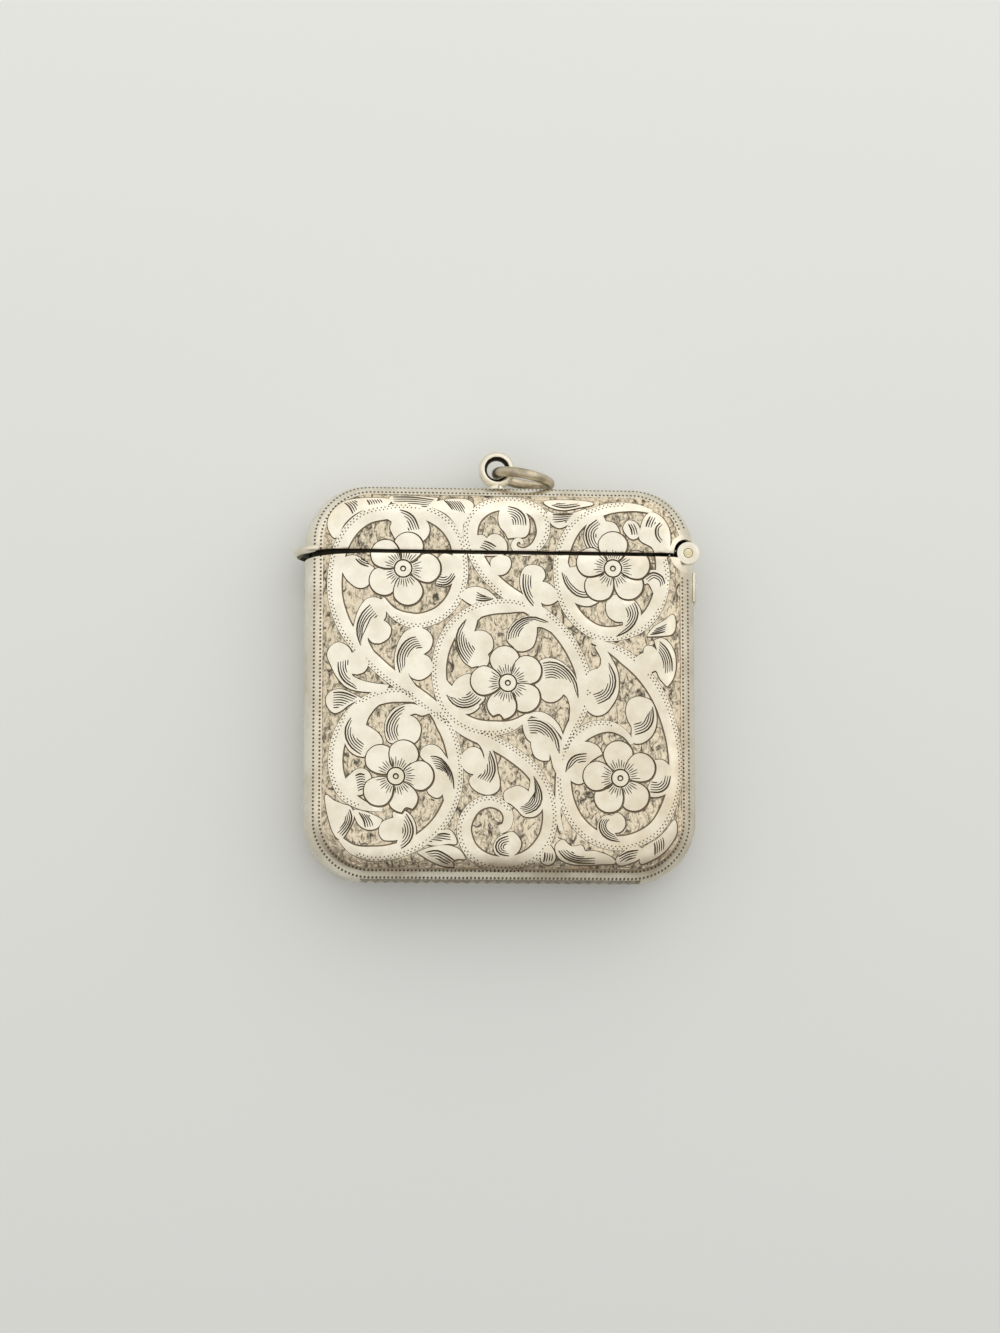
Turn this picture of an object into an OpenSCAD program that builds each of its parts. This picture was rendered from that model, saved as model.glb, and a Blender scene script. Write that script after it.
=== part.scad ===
// Vesta case: a flat pocket case for wax matches, in sheet silver.
// It lies on its back: X runs towards the hinge, Y towards the lid, Z out of the front face.
// The origin is on the back face, in the middle of the case.
// Front and back are stamped halves, soldered along the seam and then sawn through to part the lid.

/* [Case] */
// Width across the sides, in mm
case_w = 42.2; // [38:0.1:48]
// Height from the base to the top of the lid
case_h = 42.9; // [39:0.1:50]
// Thickness from the back face to the front face
case_t = 9.5; // [8.6:0.1:12]
// Radius of the four corners, seen from the front
corner_r = 6.8; // [5:0.1:7]
// Radius of the rounded edges between the faces and the sides
edge_r = 3.8; // [3.2:0.1:4]
// Thickness of the silver sheet
wall = 0.6; // [0.4:0.05:0.8]

/* [Lid] */
// Height of the lid, from the saw cut to its top
lid_h = 7.65; // [7:0.05:10]
// Width of the saw cut between the lid and the body
lid_gap = 0.3; // [0.1:0.05:0.4]

/* [Mouth rim] */
// Thickness of the rim that stands up inside the lid
rim_t = 0.45; // [0.3:0.05:0.6]
// Height of the rim above the saw cut
rim_rise = 1.3; // [0.8:0.1:1.8]
// Depth of the rim inside the body
rim_depth = 3; // [2:0.1:5]
// Clearance round the rim, so that the lid slides over it
rim_clearance = 0.12; // [0.08:0.01:0.2]

/* [Hinge] */
// Diameter of the hinge pin
pin_d = 1.05; // [0.8:0.05:1.2]
// Outside diameter of the knuckles
knuckle_d = 2.4; // [2:0.05:2.6]
// Length of the hinge, end to end
hinge_len = 8.4; // [7:0.1:8.6]
// Length of the middle knuckle, which belongs to the lid
lid_knuckle_len = 3; // [2.4:0.1:3.4]
// Gap between neighbouring knuckles
knuckle_gap = 0.12; // [0.08:0.01:0.2]
// Distance of the pin inside the case's side
pin_inset = 0.95; // [0.8:0.05:1]
// Height of the pin above the saw cut
pin_rise = 0.3; // [0.1:0.05:0.4]
// Radial clearance of the pin in the lid's knuckle
pin_clearance = 0.03; // [0.02:0.01:0.06]
// Gap between the scalloped lid edge and the body's knuckles
hood_gap = 0.45; // [0.4:0.05:0.55]
// Gap between the body's notch and the lid's turning knuckle
swing_gap = 0.35; // [0.3:0.05:0.45]
// Thickness of the plate that is soldered under the hinge, outside
plate_t = 0.25; // [0.15:0.05:0.35]
// Length of that plate below its notch
plate_len = 3; // [2:0.1:5]
// Half of the plate's width round the side
plate_half_w = 2.4; // [1.8:0.1:3]
// Radius of the plate's notch for the turning lid
plate_notch_r = 2; // [1.9:0.1:2.6]

/* [Lid spring] */
// Thickness of the leaf spring
spring_t = 0.3; // [0.2:0.05:0.4]
// Width of the leaf spring
spring_w = 1.7; // [1.2:0.1:1.8]
// Length of the spring's riveted foot
spring_foot = 7; // [6:0.5:10]
// Length of the spring's sloping blade
spring_blade = 9.5; // [8:0.5:12]
// Length of the spring's straight tip, which bears on the cam
spring_tip = 3.2; // [2.8:0.1:4]
// Distance of the cam's flats from the pin's centre
cam_flat = 1; // [0.9:0.05:1.1]
// Turn between the cam's closed flat and its open flat, in degrees
cam_turn = 100; // [90:5:110]
// Diameter of the spring's rivets
rivet_d = 0.9; // [0.6:0.1:1.1]
// Height of the rivet heads inside
rivet_head = 0.35; // [0.2:0.05:0.5]
// Distance between the two rivets
rivet_pitch = 4; // [3:0.5:4.5]

/* [Thumb lip] */
// Reach of the lip beyond the lid's side
lip_reach = 1.2; // [0.8:0.1:1.4]
// Thickness of the lip's rounded edge
lip_t = 0.9; // [0.6:0.1:1.1]
// Distance of the lip's rounded edge below the lid's saw cut
lip_drop = 0.2; // [0:0.05:0.25]
// Distance of the lip's two ends inside the case's faces
lip_shy = 0.75; // [0.6:0.05:1.2]
// Depth of the sloping cut that opens the body below the lip
relief_depth = 0.45; // [0.2:0.05:0.6]
// Length of that cut across the case
relief_len = 8; // [4:0.5:10]

/* [Striker] */
// Length of the ribbed strip in the base
striker_len = 30; // [24:0.5:30.5]
// Width of the ribbed strip
striker_w = 4.4; // [3:0.1:5]
// Thickness of the strip
striker_t = 0.9; // [0.8:0.05:1.2]
// Distance from rib to rib
rib_pitch = 1.1; // [0.8:0.1:1.5]
// Depth of the grooves between the ribs
rib_depth = 0.3; // [0.2:0.05:0.4]
// Depth of the ribs' crests inside the base
striker_sink = 0.15; // [0:0.05:0.25]

/* [Loop and ring] */
// Distance of the loop from the middle of the lid, away from the hinge
loop_offset = 0.3; // [0:0.1:2]
// Radius of the hole in the fixed loop
loop_hole_r = 1.05; // [1:0.05:1.4]
// Thickness of the loop's wire, across the hole
loop_wire = 0.95; // [0.6:0.05:1.1]
// Depth of the loop along its hole
loop_depth = 1.3; // [1:0.1:1.6]
// Height of the loop's centre above the lid
loop_rise = 2.25; // [1.8:0.05:2.6]
// Radius of the loop's foot
foot_r = 0.85; // [0.6:0.05:0.9]
// Outside diameter of the jump ring
ring_d = 7; // [6:0.1:8]
// Diameter of the jump ring's wire
ring_wire = 1.1; // [0.8:0.05:1.2]
// Distance of the ring's wire below the centre of the hole
ring_drop = 0.35; // [0.1:0.05:0.4]
// Slope of the ring towards the lid, in degrees
ring_lean = 11; // [0:0.5:12]

/* [Fits] */
// Film of solder between pieces that are joined
solder = 0.02; // [0.01:0.005:0.03]
// Room that a cutting shape has beyond the piece that it cuts
over = 1; // [0.5:0.1:2]

/* [Hidden] */
$fn = 96;

silver = [0.86, 0.83, 0.74];
worn_silver = [0.78, 0.74, 0.66];
brass = [0.86, 0.78, 0.52];
steel = [0.55, 0.55, 0.56];

half_t = case_t / 2;
corner_x = case_w / 2 - corner_r;
corner_y = case_h / 2 - corner_r;
lid_line = case_h / 2 - lid_h;
body_top = lid_line - lid_gap / 2;
lid_bottom = lid_line + lid_gap / 2;
side_flat = half_t - edge_r;
inner_side = case_w / 2 - wall;

pin_x = case_w / 2 - pin_inset;
pin_y = lid_line + pin_rise;
pin_r = pin_d / 2;
knuckle_r = knuckle_d / 2;
body_knuckle_len = (hinge_len - lid_knuckle_len) / 2 - knuckle_gap;

spring_side = pin_x - cam_flat - solder;
spring_top = pin_y + spring_tip / 2;
spring_bend = spring_top - spring_tip;
foot_top = spring_bend - spring_blade;
foot_side = inner_side - solder;
rivet_y = foot_top - spring_foot / 2;

striker_y = -case_h / 2 + striker_sink;
rib_count = floor(striker_len / rib_pitch);

// The lip's edge is an arc between its ends, which lie on the rounded edges of the lid
lip_end = half_t - lip_shy;
lip_bow = lip_reach + edge_r - sqrt(pow(edge_r, 2) - pow(lip_end - side_flat, 2));
lip_r = (pow(lip_end, 2) + pow(lip_bow, 2)) / (2 * lip_bow);
lip_turn = asin(lip_end / lip_r);

loop_y = case_h / 2 + loop_rise;
ring_y = loop_y - ring_drop;
ring_mean_r = (ring_d - ring_wire) / 2;

// Section through a rounded edge of one half, inset from the outer surface.
// It runs outwards from a corner's centre, and up from the seam to the face.
module edge_section(inset) {
    square([corner_r - edge_r, half_t - inset]);
    square([corner_r - inset, side_flat]);
    intersection() {
        translate([corner_r - edge_r, side_flat]) circle(edge_r - inset);
        square([corner_r + over, half_t + over]);
    }
}

// Sheet of the rounded edge, between two insets
module sheet_section(outer, inner) {
    difference() {
        edge_section(outer);
        edge_section(inner);
    }
}

// A section carried once round the case, with the seam at Z = 0
module round_the_case() {
    for (sx = [0, 1], sy = [0, 1]) mirror([sx, 0, 0]) mirror([0, sy, 0]) translate([corner_x, corner_y, 0])
        rotate_extrude(angle = 90) children();
    for (sx = [0, 1]) mirror([sx, 0, 0]) translate([corner_x, corner_y, 0])
        rotate([90, 0, 0]) linear_extrude(2 * corner_y) children();
    for (sy = [0, 1]) mirror([0, sy, 0]) translate([-corner_x, corner_y, 0])
        rotate([90, 0, 90]) linear_extrude(2 * corner_x) children();
}

// One stamped half, with its seam at Z = 0 and its face upwards
module stamped_half() {
    round_the_case() sheet_section(0, wall);
    translate([-corner_x, -corner_y, half_t - wall]) cube([2 * corner_x, 2 * corner_y, wall]);
}

// The half on its own side of the seam
module front_half() { translate([0, 0, half_t]) children(); }
module back_half() { translate([0, 0, half_t]) mirror([0, 0, 1]) children(); }

// Everything on the body's side of the saw cut, and everything on the lid's side
module below_cut() {
    translate([-case_w, body_top - 2 * case_h, -over]) cube([2 * case_w, 2 * case_h, case_t + 2 * over]);
}
module above_cut() { translate([-case_w, lid_bottom, -over]) cube([2 * case_w, case_h, case_t + 2 * over]); }

// A round bar on the hinge's axis, centred on the seam
module hinge_bar(radius, length) {
    translate([pin_x, pin_y, half_t]) cylinder(r = radius, h = length, center = true);
}

// The room that one side leaves for the other side's knuckles
module hinge_notch(middle_r, end_r) {
    hinge_bar(middle_r, lid_knuckle_len + knuckle_gap);
    difference() {
        hinge_bar(end_r, case_t + 2 * over);
        hinge_bar(end_r + over, lid_knuckle_len + knuckle_gap);
    }
}

module body_hinge_notch() { hinge_notch(knuckle_r + swing_gap, knuckle_r + solder); }
module lid_hinge_notch() { hinge_notch(knuckle_r + solder, knuckle_r + hood_gap); }

// The saw cut widens towards the lip, so that a thumb gets under it
module thumb_relief() {
    side = -case_w / 2;
    translate([0, 0, -over]) linear_extrude(case_t + 2 * over) polygon([
        [side - over, body_top - relief_depth], [side, body_top - relief_depth], [side + relief_len, body_top],
        [side + relief_len, body_top + over], [side - over, body_top + over],
    ]);
}

module striker_slot() {
    translate([-striker_len / 2 - solder, -case_h / 2 - over, half_t - striker_w / 2 - solder])
        cube([striker_len + 2 * solder, wall + 2 * over, striker_w + 2 * solder]);
}

module body_cuts() {
    body_hinge_notch();
    thumb_relief();
    striker_slot();
    rivet_holes();
}

module body_front_shell() {
    color(silver) difference() {
        intersection() {
            front_half() stamped_half();
            below_cut();
        }
        body_cuts();
    }
}

module body_back_shell() {
    color(silver) difference() {
        intersection() {
            back_half() stamped_half();
            below_cut();
        }
        body_cuts();
    }
}

module lid_front_shell() {
    color(silver) difference() {
        intersection() {
            front_half() stamped_half();
            above_cut();
        }
        lid_hinge_notch();
    }
}

module lid_back_shell() {
    color(silver) difference() {
        intersection() {
            back_half() stamped_half();
            above_cut();
        }
        lid_hinge_notch();
    }
}

// Full section of the case across its height, inset from the outer surface
module cross_section(inset) {
    for (sx = [0, 1], sz = [0, 1]) mirror([sx, 0]) mirror([0, sz]) {
        translate([corner_x, 0]) edge_section(inset);
        square([corner_x, half_t - inset]);
    }
}

// The rim is left open at the hinge, where the spring stands
module mouth_rim() {
    rim_outer = wall + rim_clearance;
    color(worn_silver) translate([0, lid_line + rim_rise, half_t])
        rotate([90, 0, 0]) linear_extrude(rim_rise + rim_depth) difference() {
            cross_section(rim_outer);
            cross_section(rim_outer + rim_t);
            translate([corner_x, -case_t]) square([case_w, 2 * case_t]);
        }
}

// The strip's ribs are saw teeth, seen from the front
module striker_strip() {
    start = -rib_count * rib_pitch / 2;
    teeth = [for (i = [0 : rib_count - 1], side = [0, 1])
        [start + (i + side / 2) * rib_pitch, striker_y + (side == 0 ? rib_depth : 0)]];
    back = striker_y + striker_t;
    color(worn_silver) translate([0, 0, half_t - striker_w / 2]) linear_extrude(striker_w) polygon(concat(
        [[-striker_len / 2, back], [-striker_len / 2, striker_y + rib_depth]],
        teeth,
        [[-start, striker_y + rib_depth], [striker_len / 2, striker_y + rib_depth], [striker_len / 2, back]]
    ));
}

module hinge_plate() {
    plate_top = pin_y;
    plate_bottom = pin_y - plate_notch_r - plate_len;
    color(silver) difference() {
        translate([corner_x, plate_top, half_t]) rotate([90, 0, 0]) linear_extrude(plate_top - plate_bottom)
            for (sz = [0, 1]) mirror([0, sz]) intersection() {
                sheet_section(-plate_t, -solder);
                translate([corner_r - edge_r, 0]) square([edge_r + over, plate_half_w]);
            }
        hinge_bar(plate_notch_r, case_t + 2 * over);
        translate([corner_x, body_top, -over]) cube([case_w, case_h, case_t + 2 * over]);
    }
}

// A knuckle of the body, at one end of the hinge
module body_knuckle(side) {
    color(silver) translate([pin_x, pin_y, half_t + side * (hinge_len - body_knuckle_len) / 2]) difference() {
        cylinder(r = knuckle_r, h = body_knuckle_len, center = true);
        cylinder(r = pin_r, h = body_knuckle_len + over, center = true);
    }
}

module body_knuckle_front() { body_knuckle(1); }
module body_knuckle_back() { body_knuckle(-1); }

module hinge_pin() { color(brass) hinge_bar(pin_r, hinge_len); }

// The lid's knuckle is also the cam: one flat faces the spring when shut, the other when open
module lid_knuckle() {
    color(silver) difference() {
        hinge_bar(knuckle_r, lid_knuckle_len);
        hinge_bar(pin_r + pin_clearance, lid_knuckle_len + over);
        for (turn = [0, cam_turn]) translate([pin_x, pin_y, half_t]) rotate([0, 0, 180 + turn])
            translate([cam_flat, -case_t / 2, -case_t / 2]) cube(case_t);
    }
}

// The blade leans in from the foot on the side wall, and its tip stands against the cam
module leaf_spring() {
    color(steel) difference() {
        translate([0, 0, half_t - spring_w / 2]) linear_extrude(spring_w) polygon([
            [foot_side, foot_top - spring_foot], [foot_side, foot_top],
            [spring_side, spring_bend], [spring_side, spring_top],
            [spring_side - spring_t, spring_top], [spring_side - spring_t, spring_bend],
            [foot_side - spring_t, foot_top], [foot_side - spring_t, foot_top - spring_foot],
        ]);
        rivet_holes();
    }
}

// The two places of the spring's rivets, with their axis along X
module at_rivets() {
    for (dy = [-rivet_pitch / 2, rivet_pitch / 2]) translate([0, rivet_y + dy, half_t])
        rotate([0, 90, 0]) children();
}

module rivet_holes() {
    at_rivets() translate([0, 0, foot_side - spring_t - over])
        cylinder(d = rivet_d + 2 * solder, h = spring_t + wall + 2 * over);
}

// Each rivet is filed flush outside and has a head on the spring
module spring_rivets() {
    shank_start = foot_side - spring_t - solder;
    color(steel) at_rivets() {
        translate([0, 0, shank_start]) cylinder(d = rivet_d, h = case_w / 2 - shank_start);
        translate([0, 0, shank_start - rivet_head]) cylinder(d1 = rivet_d, d2 = spring_w, h = rivet_head);
    }
}

// Outline of the flared lip, from its axis to its rounded edge
module lip_section() {
    nose = lip_t / 2;
    flare = lip_reach - nose;
    square([lip_r - nose, lip_t]);
    translate([lip_r - nose, nose]) circle(nose);
    difference() {
        square([lip_r - nose, lip_t + flare]);
        translate([lip_r - nose, lip_t + flare]) circle(flare);
    }
}

// The lip is a crescent that wraps the end of the lid away from the hinge
module thumb_lip() {
    axis_x = lip_r - lip_reach - case_w / 2;
    color(silver) difference() {
        translate([axis_x, lid_bottom - lip_drop, half_t]) rotate([-90, 180, 0]) rotate([0, 0, -lip_turn])
            rotate_extrude(angle = 2 * lip_turn) intersection() {
                lip_section();
                square([lip_r + over, case_h]);
            }
        translate([0, lid_bottom + case_h, half_t]) rotate([90, 0, 0])
            linear_extrude(2 * case_h) cross_section(-solder);
    }
}

// A place on the loop's centre line and on the seam
module at_loop(y) { translate([-loop_offset, y, half_t]) children(); }

module suspension_loop() {
    round_end = loop_depth / 2 - loop_wire / 2;
    color(silver) difference() {
        union() {
            at_loop(loop_y) rotate_extrude() translate([loop_hole_r + loop_wire / 2, 0]) {
                for (z = [-round_end, round_end]) translate([0, z]) circle(d = loop_wire);
                square([loop_wire, 2 * round_end], center = true);
            }
            at_loop(case_h / 2) rotate([-90, 0, 0])
                cylinder(r = foot_r, h = loop_rise - loop_hole_r - solder);
        }
        translate([-case_w / 2, 0, 0]) cube([case_w, case_h / 2, case_t]);
    }
}

// The ring hangs through the loop and leans on the lid, towards the hinge
module jump_ring() {
    color(worn_silver) at_loop(ring_y) rotate([0, 0, -ring_lean])
        translate([ring_mean_r, 0, 0]) rotate([90, 0, 0])
            rotate_extrude() translate([ring_mean_r, 0]) circle(d = ring_wire);
}

body_front_shell();
body_back_shell();
mouth_rim();
striker_strip();
hinge_plate();
body_knuckle_front();
body_knuckle_back();
hinge_pin();
leaf_spring();
spring_rivets();
lid_front_shell();
lid_back_shell();
lid_knuckle();
thumb_lip();
suspension_loop();
jump_ring();
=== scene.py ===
"""Looks of a vesta case: engraved shells, hinge, lip, striker, loop, ring and stage."""
import math
import random
from contextlib import contextmanager

import bmesh
import bpy
import numpy as np
from bpy.props import FloatProperty, FloatVectorProperty, IntProperty, PointerProperty
from mathutils import Matrix, Vector
from mathutils.geometry import delaunay_2d_cdt


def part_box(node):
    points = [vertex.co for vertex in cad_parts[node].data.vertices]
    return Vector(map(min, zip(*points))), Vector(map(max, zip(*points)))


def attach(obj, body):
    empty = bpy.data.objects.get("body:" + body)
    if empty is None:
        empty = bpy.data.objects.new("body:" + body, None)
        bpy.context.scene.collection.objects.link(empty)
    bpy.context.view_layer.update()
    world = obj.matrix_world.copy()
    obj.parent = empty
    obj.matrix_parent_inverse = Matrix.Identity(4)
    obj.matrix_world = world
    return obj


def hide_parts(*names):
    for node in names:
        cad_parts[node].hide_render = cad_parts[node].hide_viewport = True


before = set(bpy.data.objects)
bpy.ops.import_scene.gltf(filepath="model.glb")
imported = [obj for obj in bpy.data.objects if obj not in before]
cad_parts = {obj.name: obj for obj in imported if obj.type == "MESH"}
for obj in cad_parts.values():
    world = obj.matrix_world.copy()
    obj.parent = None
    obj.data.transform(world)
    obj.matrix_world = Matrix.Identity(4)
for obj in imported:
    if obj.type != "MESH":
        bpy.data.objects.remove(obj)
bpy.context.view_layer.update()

bl_info = {
    "name": "Vesta case",
    "version": (1, 0, 0),
    "blender": (4, 5, 0),
    "location": "View3D > Sidebar > Vesta case",
    "description": "Engraved silver match case with a hinged lid",
    "category": "Object",
}

# Sizes that come from the solids, in millimetres
MM = 0.001


def box_mm(node):
    """Lowest and highest corner of a solid, in millimetres."""
    low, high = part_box(node)
    return low / MM, high / MM


BODY_LOW, BODY_HIGH = box_mm("body_front_shell")
LID_LOW, LID_HIGH = box_mm("lid_front_shell")
PIN_LOW, PIN_HIGH = box_mm("hinge_pin")
SEAM = BODY_LOW.z
THICK = BODY_HIGH.z
HALF_W = -BODY_LOW.x
HALF_H = LID_HIGH.y
BODY_TOP = BODY_HIGH.y
LID_BOTTOM = LID_LOW.y
PIN = (PIN_LOW + PIN_HIGH) / 2

# Kinds of surface on an engraved shell, which are also its material slots
# the last kind is the walls at the saw cut and in the relief under the lip, painted with shade for the gap between lid
# and body
GROUND, SILVER, CUT, HATCH, PLAIN, INSIDE, SAWN_IN_SHADE = range(7)


def length(name, text, value):
    return FloatProperty(name=name, description=text, default=value * MM, unit="LENGTH", precision=5)


def colour(name, text, value):
    return FloatVectorProperty(name=name, description=text, default=value, subtype="COLOR", min=0.0, max=1.0)


class CaseSizes(bpy.types.PropertyGroup):
    """Sizes that the looks need beside those of the solids"""

    corner: length("Corner radius", "Radius of the four corners, seen from the front", 6.8)
    edge: length("Edge radius", "Radius of the rounded edges between the faces and the sides", 3.8)
    wall: length("Sheet", "Thickness of the silver sheet", 0.6)
    ground_depth: length("Ground depth", "Depth of the matted ground round the ornament", 0.05)
    line_depth: length("Line depth", "Depth of the engraved outlines", 0.08)
    hatch_depth: length("Hatch depth", "Depth of the fine engraved strokes", 0.05)
    relief_depth: length("Relief depth", "Depth of the sloping cut that opens the body below the lip", 0.45)
    relief_length: length("Relief length", "Length of that cut across the case", 8.0)
    seed: IntProperty(name="Seed", description="Start of the random draws of the matted ground", default=7)


class CaseColours(bpy.types.PropertyGroup):
    """Colours of the metals and of the stage"""

    silver: colour("Silver", "Bright engraved silver", (0.93, 0.89, 0.77))
    # tarnish, darkened to near black, is also the colour of the painted shade
    tarnish: colour("Tarnish", "Tarnish on the silver", (0.66, 0.58, 0.44))
    ground: colour("Ground", "Matted ground round the ornament", (0.67, 0.59, 0.45))
    line: colour("Line", "Darkened engraved outlines", (0.19, 0.145, 0.095))
    hatch: colour("Hatch", "Fine engraved strokes", (0.1, 0.08, 0.06))
    brass: colour("Brass", "Pin of the hinge", (0.8, 0.72, 0.47))
    steel: colour("Steel", "Spring inside the case", (0.42, 0.42, 0.43))
    floor: colour("Floor", "Pale floor", (0.84, 0.87, 0.875))


# Lines and outlines of the ornament, in millimetres on the face's plan
BAND_W = 1.52
LINE = 0.11
HEAVY_LINE = 0.17
MARGIN_LINE = 0.05
LEAF_GROWTH = 0.12
DOT_PITCH = 0.42
MARGIN_ROWS = (0.17, 0.42)
MARGIN_DOT = 0.09
BORDER_DOT = 0.13
HINGE_SILVER = 2.1
HINGE_ROOM = 2.6
# half width, half height and corner radius of the ground, and of the rows of dots round it with their phase
GROUND_PLATE = (19.25, 20.15, 5.2)
BORDER_ROWS = ((20.15, 21.1, 6.1, 0.0), (19.5, 20.42, 5.5, 0.5))
# a petal's length and half its width, and in shares of these its side and its plain or notched tip
PETAL_REACH = 4.12
PETAL_HALF = 1.6
PETAL_SIDE = [(0.2, 0.35), (0.42, 0.85), (0.66, 1.0), (0.84, 0.78), (0.95, 0.4)]
PETAL_TIPS = ([(0.98, 0.0)], [(0.93, 0.3), (0.86, 0.0), (0.93, -0.3)])
# circles at the middle of a flower: kind, shift upwards, radius and number of sides
FLOWER_EYE = ((CUT, 0.0, 1.03, 28), (CUT, 0.0, 0.95, 28), (SILVER, 0.0, 0.86, 28),
              (CUT, 0.0, 0.34, 14), (CUT, 0.0, 0.26, 14), (SILVER, -0.03, 0.18, 12))


def smooth_line(points, per_span=6, closed=False):
    """Points of a smooth curve through the given ones."""
    n = len(points)
    spans = n if closed else n - 1
    out = []
    for i in range(spans):
        if closed:
            a, b, c, d = (points[(i + k) % n] for k in (-1, 0, 1, 2))
        else:
            a, b, c, d = (points[min(max(i + k, 0), n - 1)] for k in (-1, 0, 1, 2))
        for s in range(per_span):
            t = s / per_span
            out.append(tuple(
                0.5 * (2 * q + (r - p) * t + (2 * p - 5 * q + 4 * r - w) * t * t
                       + (3 * q - p - 3 * r + w) * t ** 3)
                for p, q, r, w in zip(a, b, c, d)))
    if not closed:
        out.append(tuple(points[-1]))
    return out


def left_normals(line, closed=False):
    out = []
    n = len(line)
    for i in range(n):
        a = line[(i - 1) % n] if closed else line[max(i - 1, 0)]
        b = line[(i + 1) % n] if closed else line[min(i + 1, n - 1)]
        dx, dy = b[0] - a[0], b[1] - a[1]
        size = math.hypot(dx, dy) or 1.0
        out.append((-dy / size, dx / size))
    return out


def ramp(stops, t):
    """Value at t on a line through (position, value) pairs."""
    if t <= stops[0][0]:
        return stops[0][1]
    for (a, u), (b, v) in zip(stops, stops[1:]):
        if t <= b:
            return u + (v - u) * (t - a) / (b - a)
    return stops[-1][1]


def area(points):
    return 0.5 * sum(a[0] * b[1] - b[0] * a[1] for a, b in zip(points, points[1:] + points[:1]))


def grown(points, by, lean=0.0):
    """The outline moved outwards; with a lean, further on its lower right than on its upper left."""
    sign = -1.0 if area(points) > 0 else 1.0
    out = []
    for (x, y), (nx, ny) in zip(points, left_normals(points, True)):
        step = by * sign * (1.0 + lean * (0.6 * nx - 0.8 * ny) * sign)
        out.append((x + nx * step, y + ny * step))
    return out


def lobed(points, per_span=5):
    """A closed outline, smooth except at the points that have a third value."""
    first = next((i for i, p in enumerate(points) if len(p) > 2), None)
    if first is None:
        return smooth_line(points, per_span, True)
    turned = points[first:] + points[:first + 1]
    out, stretch = [], [turned[0][:2]]
    for p in turned[1:]:
        stretch.append(p[:2])
        if len(p) > 2:
            out += smooth_line(stretch, per_span)[:-1]
            stretch = [p[:2]]
    return out


def circle(x, y, r, n=18):
    return [(x + r * math.cos(2 * math.pi * i / n), y + r * math.sin(2 * math.pi * i / n)) for i in range(n)]


def lengths(line):
    out = [0.0]
    for a, b in zip(line, line[1:]):
        out.append(out[-1] + math.hypot(b[0] - a[0], b[1] - a[1]))
    return out


def part_of(line, t0, t1, n):
    """n points spread over a stretch of a line."""
    run = lengths(line)
    total = run[-1]
    out, k = [], 0
    for i in range(n):
        s = total * (t0 + (t1 - t0) * i / (n - 1))
        while k < len(run) - 2 and run[k + 1] < s:
            k += 1
        f = (s - run[k]) / max(run[k + 1] - run[k], 1e-9)
        f = min(max(f, 0.0), 1.0)
        a, b = line[k], line[k + 1]
        out.append((a[0] + (b[0] - a[0]) * f, a[1] + (b[1] - a[1]) * f))
    return out


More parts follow.
